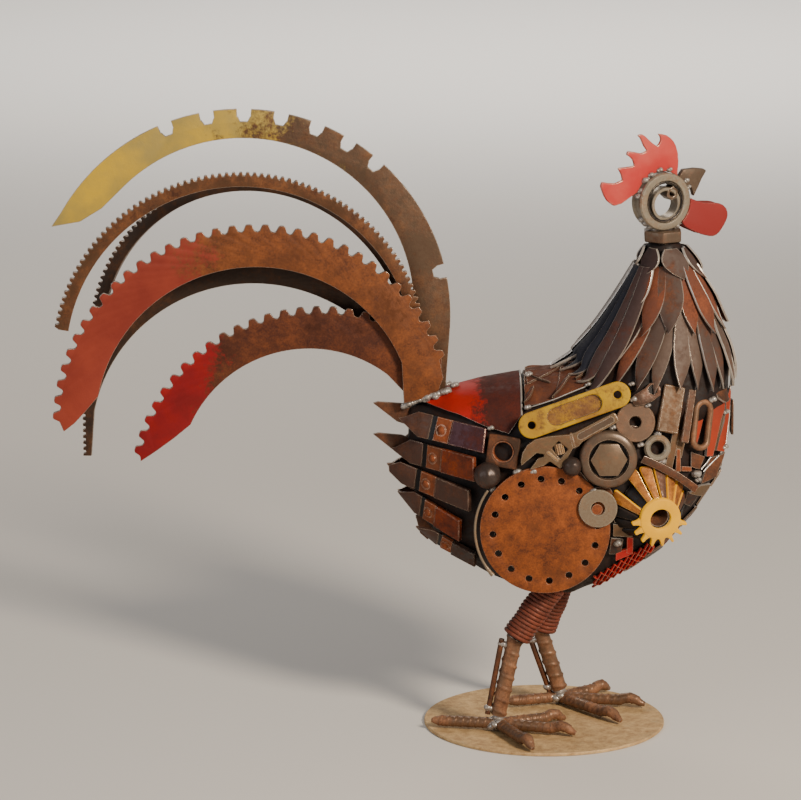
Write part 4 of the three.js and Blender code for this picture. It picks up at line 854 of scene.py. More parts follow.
def make_blades():
    # Each blade: its tip and its end in X and height, and how far it reaches below and above the line between
    rows = ((-175, 387, -69, 362, 15, 14.6), (-192, 340, -75, 331, 11, 18), (-202, 311, -80, 298, 12.5, 14),
            (-185, 274, -92, 263, 14, 15), (-156, 236, -79, 226, 12, 12.5))
    ends = (BLADE_MAROON, BLADE_RUST, BLADE_BROWN, BLADE_RUST, DARK)
    for i, (tip_x, tip_z, end_x, end_z, low, high) in enumerate(rows):
        end = trunk_skin(end_x, trunk_angle(end_x, end_z), 0)
        length = math.hypot(end_x - tip_x, end_z - tip_z) * 1.13
        mid_x, mid_z = blend(tip_x, end_x, 0.62), blend(tip_z, end_z, 0.62)
        angle = trunk_angle(mid_x, mid_z)
        middle = trunk_skin(mid_x, angle, 0)
        normal = (trunk_skin(mid_x, angle, 1) - middle).normalized()
        along = Vector((end.x - tip_x, 0, end.z - tip_z))
        forward = (along - normal * along.dot(normal)).normalized()
        up = normal.cross(forward)
        turn = Matrix((forward, up, normal)).transposed().to_4x4()
        where = Matrix.Translation(middle + normal * 1.2 + forward * length * 0.38) @ turn
        near = place(blade_parts(length, low, high), where @ shift(-length, 0, 0))
        cut_off(near, (0, -2.4, 0), (0, 1, 0))
        far = copy_of(near, MIRROR)
        finished(f"blade_row_{i + 1}", joined(near, far), [BLADE_BROWN, SHADE_BLACK, RIVET_RUST, ends[i]],
                 [f"near_blade_{i + 1}", f"far_blade_{i + 1}"])
    # The knives between the rows: tip and root in X and height
    teeth = ((-208, 397, -164, 383), (-208, 359, -164, 344), (-192, 323, -158, 304), (-157, 259, -138, 242))
    for i, (tip_x, tip_z, root_x, root_z) in enumerate(teeth):
        length = math.hypot(root_x - tip_x, root_z - tip_z)
        end = length + 6
        shape = [(0, 0), (length * 0.75, -13), (end, -13), (end, 10), (length * 0.7, 10), (5, 3.4)]
        lean = math.atan2(tip_z - root_z, root_x - tip_x)
        turn = shift(tip_x, 0, tip_z) @ Matrix.Rotation(lean, 4, "Y") @ rotation(90, "X")
        knife = place(slab(shape, 3.8, 0.9, segments=2), turn)
        finished(f"rear_knife_{i + 1}", knife, [BROWN], [f"rear_tooth_{i + 1}"])


# Sheets, leaves and the body under them
PALE_EDGE_WIDTH = 0.7
LEAF_STEPS = 8


def sheet(rule, columns, rows, low, high, edge_finish=1):
    """A bent sheet: rule(s, t, lift) places each point, with s and t from 0 to 1."""
    form = bmesh.new()
    bmesh.ops.create_grid(form, x_segments=columns, y_segments=rows, size=0.5)
    s_at = form.verts.layers.float.new("s")
    t_at = form.verts.layers.float.new("t")
    for vert in form.verts:
        vert[s_at], vert[t_at] = vert.co.x + 0.5, vert.co.y + 0.5
    grown = bmesh.ops.extrude_face_region(form, geom=form.faces[:])
    upper = {v for v in grown["geom"] if isinstance(v, bmesh.types.BMVert)}
    for face in form.faces:
        above = sum(v in upper for v in face.verts)
        face.material_index = edge_finish if 0 < above < len(face.verts) else 0
    for vert in form.verts:
        vert.co = rule(vert[s_at], vert[t_at], high if vert in upper else low)
    bmesh.ops.remove_doubles(form, verts=form.verts, dist=0.02)
    return recalc(form)


def willow(t, root=0.72, belly=0.45, point=2.0):
    """The width of a leaf along its length, as a share of its widest place."""
    if t < belly:
        return root + (1 - root) * math.sin(math.pi / 2 * t / belly)
    return max(0.0, 1 - ((t - belly) / (1 - belly)) ** point)


def skin_leaf(stations, width, thick=2.6, roll=1.5, curl=1.6, root=0.72, belly=0.45, rows=10):
    """A leaf whose middle runs through stations of (point, across, out), its cut edges pale: partly ground
    steel, partly painted highlight.
    """
    last = len(stations) - 1

    def rule(s, t, lift):
        i = min(int(t * last), last - 1)
        share = t * last - i
        point, across, out = (stations[i][k].lerp(stations[i + 1][k], share) for k in range(3))
        half = willow(t, root, belly) * width / 2
        u = abs(2 * s - 1)
        inner = 1 - min(0.5, PALE_EDGE_WIDTH / max(half, 0.1))
        u = u * 1.5 * inner if u < 0.8 else 1.0
        rise = lift * (0.5 if u == 1.0 else 1.0)
        u = math.copysign(u, s - 0.5)
        return point + across.normalized() * (u * half) + out.normalized() * (rise + roll * u - curl * u * u)
    leaf = sheet(rule, 6, rows, 0, thick)
    s_at = leaf.verts.layers.float["s"]
    # The outer columns take the pale edge: ground steel and painted highlight
    for face in leaf.faces:
        if any(v[s_at] < 0.01 or v[s_at] > 0.99 for v in face.verts):
            face.material_index = 1
    return leaf


def neck_leaf(angle, high, tip, start, end, width, sweep=0.0, roll=1.5, root=0.72):
    stations = []
    for i in range(LEAF_STEPS + 1):
        t = i / LEAF_STEPS
        z, turn = blend(high, tip, t), angle + sweep * t * t
        point = neck_skin(z, turn, blend(start, end, t))
        across = (neck_skin(z, turn - 2, 0) - neck_skin(z, turn + 2, 0)).normalized()
        out = Vector((0, 0, 1)).cross(across)
        stations.append((point, across, out if out.dot(point - Vector((130, 0, z))) > 0 else -out))
    return skin_leaf(stations, width, roll=roll, root=root)


def flank_leaf(root, tip, width, start, end, roll=1.5, far=False, **shape):
    stations = []
    way = Vector((tip[0] - root[0], 0, tip[1] - root[1])).normalized()
    for i in range(LEAF_STEPS + 1):
        t = i / LEAF_STEPS
        x, z = blend(root[0], tip[0], t), blend(root[1], tip[1], t)
        angle = trunk_angle(x, z)
        point = trunk_skin(x, angle, blend(start, end, t))
        out = (trunk_skin(x, angle, 1) - trunk_skin(x, angle, 0)).normalized()
        stations.append((point, out.cross(way).normalized(), out))
    leaf = skin_leaf(stations, width, roll=roll, **shape)
    return copy_of(leaf, MIRROR) if far else leaf


def patch(corners, low, thick=2.2, columns=8, rows=8, far=False):
    """A sheet bent over the trunk between four corners given in X and height."""
    (ax, az), (bx, bz), (cx, cz), (dx, dz) = corners

    def rule(s, t, lift):
        x = blend(blend(ax, bx, s), blend(dx, cx, s), t)
        z = blend(blend(az, bz, s), blend(dz, cz, s), t)
        return trunk_skin(x, trunk_angle(x, z), low + lift)
    form = sheet(rule, columns, rows, 0, thick)
    return copy_of(form, MIRROR) if far else form


def make_body():
    """The trunk and neck as the solid has them, with softened edges and a beaten skin, its steel painted near
    black as the shade between the scrap pieces.
    """
    rough = bmesh.new()
    rough.from_mesh(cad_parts["body"].data)
    bmesh.ops.remove_doubles(rough, verts=rough.verts, dist=1e-5)
    mesh = bpy.data.meshes.new("rough_body")
    rough.to_mesh(mesh)
    rough.free()
    stand_in = bpy.data.objects.new("rough_body", mesh)
    bpy.context.scene.collection.objects.link(stand_in)
    even = stand_in.modifiers.new("even", "REMESH")
    even.mode = "VOXEL"
    even.voxel_size = 0.0045
    soft = stand_in.modifiers.new("soft", "SMOOTH")
    soft.factor = 0.5
    soft.iterations = 5
    seen = stand_in.evaluated_get(bpy.context.evaluated_depsgraph_get())
    form = bmesh.new()
    form.from_mesh(seen.to_mesh())
    seen.to_mesh_clear()
    bpy.data.objects.remove(stand_in)
    bpy.data.meshes.remove(mesh)
    bmesh.ops.scale(form, vec=(1 / MM, 1 / MM, 1 / MM), verts=form.verts)
    finished("scrap_body", roughened(form, 1.6, 26, 4), [BODY_SHADE], ["body"], 60)


def make_saddle():
    # The lower edge of the sheet on either side, in X and height
    edge = ((-163, 396), (-146, 399), (-104, 392), (-69, 381), (-46, 376), (-32, 396))

    def rule(s, t, lift):
        x = blend(edge[0][0], edge[-1][0], s)
        low = trunk_angle(x, between(edge, x)[1])
        return trunk_skin(x, blend(low, 180 - low, t), SADDLE_LIFT + lift)
    finished("red_saddle", sheet(rule, 28, 44, 0, SHEET), [SADDLE, TAIL_EDGE], ["saddle_sheet"])
    # The bright right-hand edge of the saddle
    angles = [blend(trunk_angle(-31, 396), 180 - trunk_angle(-31, 396), i / 30) for i in range(31)]
    seam = drawn([trunk_skin(-31.5, a, 3.2) for a in angles], 1.3, 8)
    finished("saddle_seam", seam, [WELD_METAL], angle=60)


def make_cape():
    chance = random.Random(12)
    # Each row: name, number of leaves, first angle, height of the root, height of the tips at the back and in
    # front, how far the tips stand off, width, finishes on the far and near side, node. The far and back side
    # take darker finishes, painted shade; the lighter grey on the near side is painted light
    rows = (("cape_top", 7, 231, 588, 556, 549, 13, 33, (3, 3), (0, 0), "cape_top_leaves"),
            ("cape_middle", 16, 247, 568, 508, 490, 15, 31, (2, 3, 2), (2, 2, 0), "cape_middle_leaves"),
            ("cape_lower", 27, 243, 522, 462, 424, 8.2, 25, (2, 0, 2, 3), (4, 0, 4, 0), "cape_lower_leaves"))
    for name, count, first, root, tip_back, tip_front, lift, width, left, right, node_name in rows:
        forms = []
        for i in range(count):
            angle = (first + 360 * i / count + chance.uniform(-1.6, 1.6)) % 360
            front = min(max((math.cos(math.radians(angle)) + 0.95) / 0.6, 0), 1)
            tip = max(blend(tip_back, tip_front, front) + chance.uniform(-2, 5), tip_front)
            over = (i % 2) * (1.2 if name == "cape_top" else 2.6)
            toward_middle = 1 if angle > 270 or angle < 90 else -1
            slant = 9 * toward_middle if name == "cape_top" else 3 * math.cos(math.radians(angle))
            leaf = neck_leaf(angle, root, tip, 2.2 + over, lift - 4 + over, width * (1.0 if i % 2 else 0.86),
                             sweep=slant, roll=toward_middle * chance.uniform(1.6, 2.8),
                             root=0.5 if name == "cape_top" else 0.72)
            # Darker finishes on the far and back side are painted shade, the lighter grey in front painted light
            forms.append(painted_faces(leaf, chance.choice(left if 90 < angle < 262 else right)))
        finished(name, joined(*forms), [LEAF, CUT_EDGE_AND_HIGHLIGHT, LEAF_RUST, LEAF_SHADE, LEAF_LIT], [node_name], 30)
    # Long narrow leaves that run from the neck down to the ridge of the back: start and end in degrees off the
    # ridge, where the leaf ends in X, its width and its finish, blue-black and dark as painted shade
    forms = []
    ridge = ((6, 86, 6, 17, 3), (17, 78, 16, 17, 3), (28, 69, 26, 17, 3), (39, 60, 34, 18, 2),
             (50, 51, 44, 18, 2))
    for side in (-1, 1):
        for k, (turn, down, reach, width, finish) in enumerate(ridge):
            start = 180 - turn if side > 0 else 180 + turn
            angle = 180 - down if side > 0 else down
            bend = [neck_skin(566, start, 8), neck_skin(530, start, 14), neck_skin(490, start, 18 - k),
                    neck_skin(464, start, 19 - 2 * k), trunk_skin(blend(62, reach, 0.5), angle, 15 - 2 * k),
                    trunk_skin(reach, angle, 5 + k * 0.4)]
            forms.append(painted_faces(curved_leaf(bend, width, side, roll=side * 1.8), finish))
    finished("back_leaves", joined(*forms), [LEAF, CUT_EDGE_AND_HIGHLIGHT, LEAF_SHADE, BLUE_SHADE], angle=30)


def smooth_path(points, steps):
    """A smooth curve through a few points."""
    path = []
    last = len(points) - 1
    for i in range(steps + 1):
        place_at = i / steps * last
        k = min(int(place_at), last - 1)
        t = place_at - k
        a, b, c, d = (points[min(max(k + j, 0), last)] for j in (-1, 0, 1, 2))
        path.append(0.5 * ((2 * b) + (c - a) * t + (2 * a - 5 * b + 4 * c - d) * t * t
                           + (3 * b - a - 3 * c + d) * t * t * t))
    return path


def curved_leaf(points, width, side, **shape):
    steps = 12
    path = smooth_path(points, steps)
    stations = []
    for i, point in enumerate(path):
        way = (path[min(i + 1, steps)] - path[max(i - 1, 0)]).normalized()
        centre = Vector((min(point.x, 130), 0, BODY_WIDEST if point.z < 440 else point.z - 40))
        out = point - centre
        out = (out - way * out.dot(way)).normalized()
        stations.append((point, out.cross(way) * side, out))
    return skin_leaf(stations, width, rows=16, **shape)


# Scrap on the flanks
COVER_X, COVER_Z = -4, 264
COVER_RADIUS = 77
COVER_THICKNESS = 5
COVER_HOLES = 16
HOLE_CIRCLE = 62
COVER_REACH = between(TRUNK, COVER_X)[3] + 1.3 + COVER_THICKNESS / 2


def cover_disc(holes):
    openings = [circle(4, 16, x, y) for x, y in circle(HOLE_CIRCLE, holes, turn=95)] if holes else []
    return slab(circle(COVER_RADIUS, 96), COVER_THICKNESS, 0.9, openings, segments=2)


def disc_frame(side, x=COVER_X, z=COVER_Z, stand=0.0):
    """The frame of a round cover: upright, flat against the widest place of the trunk."""
    return shift(x, side * (COVER_REACH + stand), z) @ rotation(-90 * side, "X")


def make_discs():
    cover = place(cover_disc(COVER_HOLES), disc_frame(-1))
    finished("perforated_cover", cover, [DISC_RUST], ["near_cover_disc"])
    plain = joined(cover_disc(0), moved(painted(ring(30, 24, 3.2), 1), 0, 0, 3.2))
    finished("far_cover", place(plain, disc_frame(1)), [DISC_RUST, BROWN], ["far_cover_disc"])
    # A black disc behind the cover, painted as the shade seen through its holes
    backing = place(turned([(0, -4), (60, -4), (60, 0), (0, 0)], 48), disc_frame(-1, stand=-2.8))
    finished("cover_backing", backing, [SHADE_BLACK])
    path = [Vector((x, -COVER_REACH, z)) for x, z in arc(COVER_X, COVER_Z, 82.8, 145, 222, 40)]
    rod = drawn(path, lambda share, angle: 1.6 + 1.2 * max(0, share - 0.85) / 0.15, 10)
    finished("cover_edge_rod", rod, [GREEN_STEEL], ["disc_edge_rod"], 60)
    stud = moved(turned([(0, -1.2), (5.6, -1.2), (6.4, -0.4), (6.4, 1.2), (0, 1.6)], 24), -1, -1, 0)
    washer = place(joined(ring(23, 8, 3.8, 0.8), painted(stud, 1)), disc_frame(-1, 58, 291, 4.75))
    finished("cover_washer", washer, [GREEN_STEEL, RIVET_RUST], ["disc_washer"])


def hexagon(radius, thickness, edge=1.2):
    return slab(circle(radius, 6), thickness, edge, segments=2)


def make_wrench():
    jaw = [(-42.5, 2.6), (-40.7, 7.9), (-34.2, 15.7), (-24.3, 21.3), (-13, 22.5), (1.5, 18.6), (13.4, 13.5)]
    handle = [(24, 8.6), (33.5, 7.0), (82, 6.2), (84, 4), (84, -4), (82, -6.2), (33.5, -7.0)]
    foot = [(27.6, -9.5), (20.3, -8.5), (10, -15), (-0.4, -21.8), (-4.1, -21.8), (-10.6, -8.8)]
    slide = [(-19.4, -9.9), (-36.6, -6.0), (-21.5, 1.0), (-14.0, -0.6), (-12.6, 1.8), (-19.3, 7.5)]
    window = [(-1.4, 3.9), (10, 7.6), (15.4, -6.4), (1.2, -12.2)]
    body = slab(jaw + handle + foot + slide, 8, 1.3, holes=[window], segments=2)
    # A black plate behind the window, painted as shade
    dark = moved(slab([(-6, 6), (12, 10), (18, -8), (-2, -15)], 3, 0.5), 0, 0, -2)
    recess = moved(slab([(34, -3.9), (78, -3.6), (80, 0), (78, 3.6), (34, 3.9), (31, 0)], 1.2, 0.5), 0, 0, 3.7)
    # The adjusting screw: a grooved barrel that shows in the window
    grooves = []
    for i in range(5):
        rib_angle = math.radians(30 + 30 * i)
        rib = place(block(1.7, 13, 1.7, 0.4), Matrix.Rotation(math.pi / 2 - rib_angle, 4, "Y"))
        grooves.append(moved(rib, 5.2 * math.cos(rib_angle), 0, 5.2 * math.sin(rib_angle)))
    barrel = joined(place(turned([(0, -6.4), (4.6, -6.4), (4.6, 6.4), (0, 6.4)], 20), rotation(90, "X")),
                    *grooves)
    place(barrel, shift(6.4, -1.6, -1.0) @ rotation(-16, "Z"))
    runner = place(block(17, 3.4, 9.4, 0.9), shift(-4.6, -5.0, 0) @ rotation(-70, "Z"))
    collar = place(block(3.4, 19, 9.2, 1.0), shift(24.5, 0, 0) @ rotation(-14, "Z"))
    return joined(body, painted(dark, 3), painted(recess, 1), painted(barrel, 2), painted(runner, 2), collar)


def make_bevel_gear():
    """A bevel gear whose face has been pushed down and toward the breast: its ribs fan out behind it."""
    cone = turned([(12, -1), (31, -1), (31, 3), (21.5, 18), (21.5, 22.4), (12, 22.4), (12, -1)], 48)
    face = slab(circle(25, 64), 4.2, 1.1, [circle(12.6, 48)], segments=3)
    # The cone under the face is painted black as shade
    parts = [painted(cone, 2), moved(face, 0, 0, 23.2)]
    slope = math.atan2(20, 22)
    rib = [(-3, -2.8), (24, -6.4), (30, -7.2), (32.6, -5.6), (32.6, 5.6), (30, 7.2), (24, 6.4), (-3, 2.8)]
    rib = slab(rib, 4.8, 1.4, segments=2, edge_finish=3)
    place(rib, shift(21, 0, 21) @ Matrix.Rotation(slope, 4, "Y") @ shift(0, 0, -0.6))
    half = [(20, 6.4), (24.6, 4.4), (27, 2.8), (30, 2.0), (34, 1.6)]
    spur = slab([(x, -y) for x, y in half] + [(35, 0)] + half[::-1], 3.6, 0.8, segments=2)
    moved(spur, 0, 0, 22.8)
    ribs = 16
    for i in range(ribs):
        angle = 360 * (i + 0.35) / ribs
        turn = rotation(angle, "Z")
        # The ribs and spurs on the underside are painted black as shade
        if 170 < angle < 375:
            parts += [painted(copy_of(rib, turn), 2), copy_of(spur, turn)]
        elif i != 6:
            parts.append(painted_faces(copy_of(rib, turn), 1 if i % 3 else 4))
    rib.free()
    spur.free()
    liner = turned([(11.4, 4), (13, 4), (13, 21), (11.4, 21), (11.4, 4)], 40)
    form = joined(painted(liner, 4), *parts)
    shear = Matrix(((1, 0, 8 / 24, 0), (0, 1, -13 / 24, 0), (0, 0, 1, 0), (0, 0, 0, 1)))
    return place(form, shear)


def make_link():
    span = 107
    ends = [circle(4.5, 20, -span / 2), circle(4.5, 20, span / 2)]
    base = moved(slab(capsule(span, 15.4, 14), 2.6, 0.6, ends, segments=2), 0, 0, -2.6)
    pocket = capsule(46, 10.5, 12)
    openings = [circle(4.6, 20, -span / 2), circle(4.6, 20, span / 2), pocket]
    lip = slab(capsule(span, 15.6, 14), 4.6, 1.5, openings, segments=3)
    # The pocket floor takes the darker worn finish, partly painted shade
    floor_of_pocket = moved(slab(pocket, 0.8, 0.2), 0, 0, -0.6)
    return joined(base, moved(lip, 0, 0, 1.0), painted(floor_of_pocket, 1))


def chain_link():
    """One link of chain, bent from round bar."""
    return drawn([Vector((x, y, 0)) for x, y in capsule(34, 10.2, 16)], 3.8, 14, True)


def make_flank():
    def put(name, form, where, finishes, nodes=(), angle=35):
        finished(name, place(form, where), finishes, nodes, angle)
    square = slab([(-19, -19), (19, -19), (19, 19), (-19, 19)], 6.4, 1.6, [circle(13, 36)], segments=3)
    sleeve = moved(ring(13.2, 11.4, 14, 0.6, 36), 0, 0, -5)
    put("square_plate", joined(square, painted(sleeve, 1)), seat(-53, 356, 5, spin=-7),
        [BROWN, RIVET_RUST], ["square_hole_plate"])
    for name, x, z, stand, radius, node_name in (("big_ball", -70, 329, 14, 16, "large_ball"),
                                                 ("little_ball", 27, 342, 10, 11.5, "small_ball")):
        ball = bmesh.new()
        bmesh.ops.create_icosphere(ball, subdivisions=4, radius=radius)
        put(name, roughened(ball, 0.7, 5, 2), seat(x, z, stand), [BALL_STEEL], [node_name], 80)
    put("painted_link", make_link(), seat(30, 405, 18, 0.7, 20), [YELLOW, YELLOW_WORN_AND_SHADE], ["yellow_link"])
    put("wrench", make_wrench(), seat(6, 360, 7, 0.6, 29),
        [WRENCH_STEEL, NUT_STEEL, GOLD, SHADE_BLACK], ["adjustable_wrench"])
    nut = turned([(23.5, -7), (33.4, -7), (34, -6), (34, 2.4), (33.2, 4.6), (31.2, 6.2), (27.4, 7), (25.6, 7.4),
                  (24.2, 7.2), (23.5, 6.2), (23.5, -7)], 72)
    # The floor of the nut's bore is painted black as shade
    floor_of_nut = moved(turned([(0, -6), (24, -6), (24, 0), (0, 0)], 40), 0, 0, 1)
    put("round_nut", joined(nut, painted(floor_of_nut, 1)), seat(69, 350, 9),
        [NUT_STEEL, SHADE_BLACK], ["big_round_nut"])
    put("hex_bolt", hexagon(22, 9), seat(69, 350, 12), [BOLT_STEEL], ["hex_bolt_head"])
    put("flat_washer", ring(23.5, 7, 5, 1.0), seat(101, 391, 8), [WASHER_STEEL], ["plain_washer"])
    put("thick_washer", ring(16, 8.4, 9, 2.2), seat(127, 360.5, 6.5), [GREY], ["ring_washer"])
    bow = [(x, 5 + 4 * math.cos(x / 30)) for x in range(-39, 40, 6)]
    strap = slab([(x, y - 9.5) for x, y in bow] + [(x, y) for x, y in reversed(bow)], 4, 0.9, segments=2)
    put("strap", strap, seat(140, 328, 10, spin=-31), [BROWN], ["strap_bar"])
    put("flower_gear", make_bevel_gear(), seat(118, 294, 0.6, 0),
        [GEAR_YELLOW, PETAL_RUST, SHADE_BLACK, GEAR_YELLOW, BROWN], ["bevel_gear"])
    link = roughened(chain_link(), 0.35, 3)
    put("oval_link", link, seat(176, 383, 10.5, 0.05, 78), [BAR], ["chain_link"], 70)
    put("flat_grey_bar", block(56, 26, 9, 1.2), seat(140, 403, 12, 0.15, 76), [GREY_BAR], ["grey_bar"])


def quad(corners, low, thick, rounded=0.0):
    """A plate with four corners on the flank, given in X and height."""
    form = patch(corners, low, thick, 6, 6)
    return roughened(form, rounded, 9, 5) if rounded else form


def make_breast():
    red = quad([(191, 422), (207, 405), (192, 344), (184, 345)], 2.6, 4.6)
    stripe = quad([(178, 404), (185, 402), (174, 360), (167, 362)], 1.6, 2.6)
    finished("red_bar_1", joined(red, stripe), [ORANGE_RED, BARE_EDGE_AND_HIGHLIGHT], ["red_breast_bar_1"], 30)
    finished("red_bar_2", quad([(209, 398), (216, 393), (205, 347), (197, 350)], 2.6, 4.0),
             [ORANGE_RED, BARE_EDGE_AND_HIGHLIGHT], ["red_breast_bar_2"], 30)
    # Small plates: finish, corners, how far off the body and how thick
    plates = [
        (4, [(153, 379), (163, 377), (156, 346), (146, 350)], 1.4, 3.0),
        (4, [(145, 379), (153, 377), (144, 335), (136, 336)], 2.0, 4.0),
        (4, [(208, 400), (213, 394), (199, 349), (195, 350)], 1.6, 2.4),
        (2, [(150, 357), (154, 356), (155, 330), (149, 330)], 2.0, 3.0),
        (2, [(156, 336), (168, 334), (168, 329), (156, 330)], 2.0, 3.0),
        (0, [(190, 342), (207, 344), (198, 319), (179, 313)], 2.2, 3.2),
        (0, [(168, 352), (184, 344), (178, 330), (168, 334)], 1.4, 2.4),
        (4, [(178, 311), (191, 311), (181, 297), (166, 303)], 2.4, 3.4),
        (3, [(164, 305), (177, 299), (168, 285), (160, 290)], 1.6, 3.0),
        (3, [(106, 283), (77, 287), (77, 272), (105, 269)], 1.4, 3.0),
        (4, [(104, 267), (76, 270), (76, 255), (101, 253)], 2.2, 3.0),
        (3, [(88, 250), (74, 252), (72, 232), (86, 230)], 1.6, 3.0),
        (0, [(-1, 366), (14, 373), (8, 348), (-6, 344)], 1.0, 3.0),
        (3, [(12, 344), (32, 340), (50, 318), (30, 318)], 1.0, 2.4),
        (0, [(50, 316), (72, 314), (80, 300), (60, 296)], 1.0, 2.4),
        (3, [(84, 388), (100, 370), (112, 372), (118, 384)], 1.0, 2.4)]
    forms = [painted_faces(quad(corners, low, thick, 0.5), kind) for kind, corners, low, thick in plates]
    forms.append(place(block(64, 10, 6, 1.1), seat(160.5, 394, 13, 0.1, 77)))
    finished("breast_plates", joined(*forms), [BROWN, BARE_EDGE_AND_HIGHLIGHT, RIVET_RUST, DARK, GREY_BAR], angle=30)
    bits = [quad([(100, 252), (93, 253), (93, 232), (100, 231)], 2.6, 2.6),
            quad([(100, 240), (80, 232), (80, 222), (100, 230)], 2.2, 2.6)]
    finished("red_bits", joined(*[painted(bit, 0) for bit in bits]), [MESH_RED], angle=30)
    # Shiny rods low on the chest, their pale steel partly painted highlight
    rods = [drawn([trunk_skin(x, trunk_angle(x, z), 6) for x, z in ends], 0.9, 8) for ends in
            (((190, 343), (184, 336), (178, 330)), ((200, 343), (190, 335), (181, 327)),
             ((215, 394), (212, 370), (207, 350), (202, 346)))]
    finished("bright_rods", joined(*rods), [BARE_EDGE_AND_HIGHLIGHT], angle=60)
    # Leaf plates low on the chest, the nearer one with a black disc painted as the shade of a drilled hole
    leaves = []
    for far in (False, True):
        leaves += [flank_leaf((188, 436), (210, 396), 24, 12, 9, -1.6, far),
                   flank_leaf((176, 434), (192, 408), 20, 13, 9, -1.6, far)]
    leaves = [painted_faces(leaf, i % 2) for i, leaf in enumerate(leaves)]
    holes = [place(turned([(0, 0), (3.6, 0), (3.6, 0.8), (0, 0.8)], 20), where @ seat(200, 418, 15, 0))
             for where in (Matrix(), MIRROR)]
    plates = joined(*leaves, *[painted(hole, 2) for hole in holes])
    finished("chest_leaves", plates, [BROWN, CUT_EDGE_AND_HIGHLIGHT, SHADE_BLACK], angle=30)


def make_shoulder():
    forms = []
    for far in (False, True):
        sheets = [
            (2, [(-27, 431), (22, 444), (7, 412), (-28, 405)], 1.4, 2.0),
            (2, [(20, 445), (50, 452), (48, 428), (5, 411)], 2.2, 2.2),
            (0, [(50, 452), (62, 454), (58, 432), (47, 428)], 3.2, 2.2),
            (2, [(-26, 434), (44, 448), (24, 441), (-24, 425)], 3.4, 1.8)]
        for kind, corners, low, thick in sheets:
            forms.append(painted_faces(roughened(patch(corners, low, thick, 14, 12, far), 0.9, 7, 6), kind))
        # Tongues cut from the sheets and bent up
        for root, tip, width, end in (((3, 428), (-25, 431), 7, 3), ((27, 436), (5, 413), 8, 6),
                                      ((-17, 423), (-28, 407), 8, 5), ((56, 446), (34, 431), 9, 5)):
            forms.append(painted_faces(flank_leaf(root, tip, width, 3.2, end + 1.5, 2.4, far), 2))
    finished("shoulder_sheets", joined(*forms), [KHAKI_BARE, TAIL_EDGE, SHEET_RUST], angle=30)
    # Thin pale rods along the sheets' edges, painted as the highlight on them
    rods = []
    for where in (Matrix(), MIRROR):
        path = [trunk_skin(x, trunk_angle(x, z), 5)
                for x, z in ((-24, 403), (3, 411), (25, 419), (47, 427), (70, 437))]
        rods.append(place(drawn(smooth_path(path, 24), 0.75, 8), where))
    finished("shoulder_edge_highlights", joined(*rods), [BARE_EDGE_AND_HIGHLIGHT], angle=60)
    outline = [(-22, -5), (-20, 3), (-6, 11), (0, 17), (8, 17), (13, 11), (12, 2), (2, -5), (-8, -9),
               (-19, -10)]
    bracket = slab(outline, 4, 0.9, [circle(5.6, 28, 3, 9)], segments=2)
    # A black disc in the bracket's hole, painted as shade
    eye = moved(turned([(0, -1), (6, -1), (6, 0.4), (0, 0.4)], 24), 3, 9, -1.4)
    bracket = place(joined(bracket, painted(eye, 1)), seat(117, 416, 17, 0.3))
    finished("drilled_bracket", bracket, [BROWN, SHADE_BLACK], angle=30)


def make_weld_drops():
    # Single drops on the flank, in X, height and size; some are repeated on the far side
    spots = ((-68, 380, 3.4), (-38, 333, 4.2), (-19, 334, 3.4), (-64, 310, 3.6), (51, 312, 3.2), (73, 384, 4.0),
             (-25, 403, 3.8), (80, 246, 4.2), (97, 412, 3.4), (96, 426, 2.8), (105, 364, 3.4), (125, 376, 4.2),
             (131, 343, 4.0), (184, 408, 4.2), (172, 325, 4.6), (174, 318, 3.4), (205, 352, 3.2),
             (206, 392, 3.0), (112, 406, 2.6), (150, 431, 2.8), (-23, 430, 3.6), (45, 443, 2.4), (46, 427, 2.6),
             (22, 440, 2.4), (35, 395, 2.6), (84, 372, 2.6), (95, 350, 3.0), (-29, 350, 2.8))
    drops = []
    for i, (x, z, size) in enumerate(spots):
        spot = trunk_skin(x, trunk_angle(x, z), 6.0 if z < 405 or x < 90 else 16.0)
        drops.append(weld([spot, spot + Vector((2.4, -0.6, 1.2))], size, i + 3))
        if i % 2 and x < 190:
            drops.append(copy_of(drops[-1], MIRROR))
    foot = [Vector((x, y, saddle_rise(x, y) + 2.4)) for x, y in
            ((-158, -3), (-146, -13), (-133, -17), (-121, -15), (-112, -9), (-150, 10), (-136, 15), (-120, 12))]
    drops += [weld([spot, spot + Vector((3, 1, 1))], 4.4, i) for i, spot in enumerate(foot)]
    finished("weld_drops", joined(*drops), [WELD_METAL], angle=60)


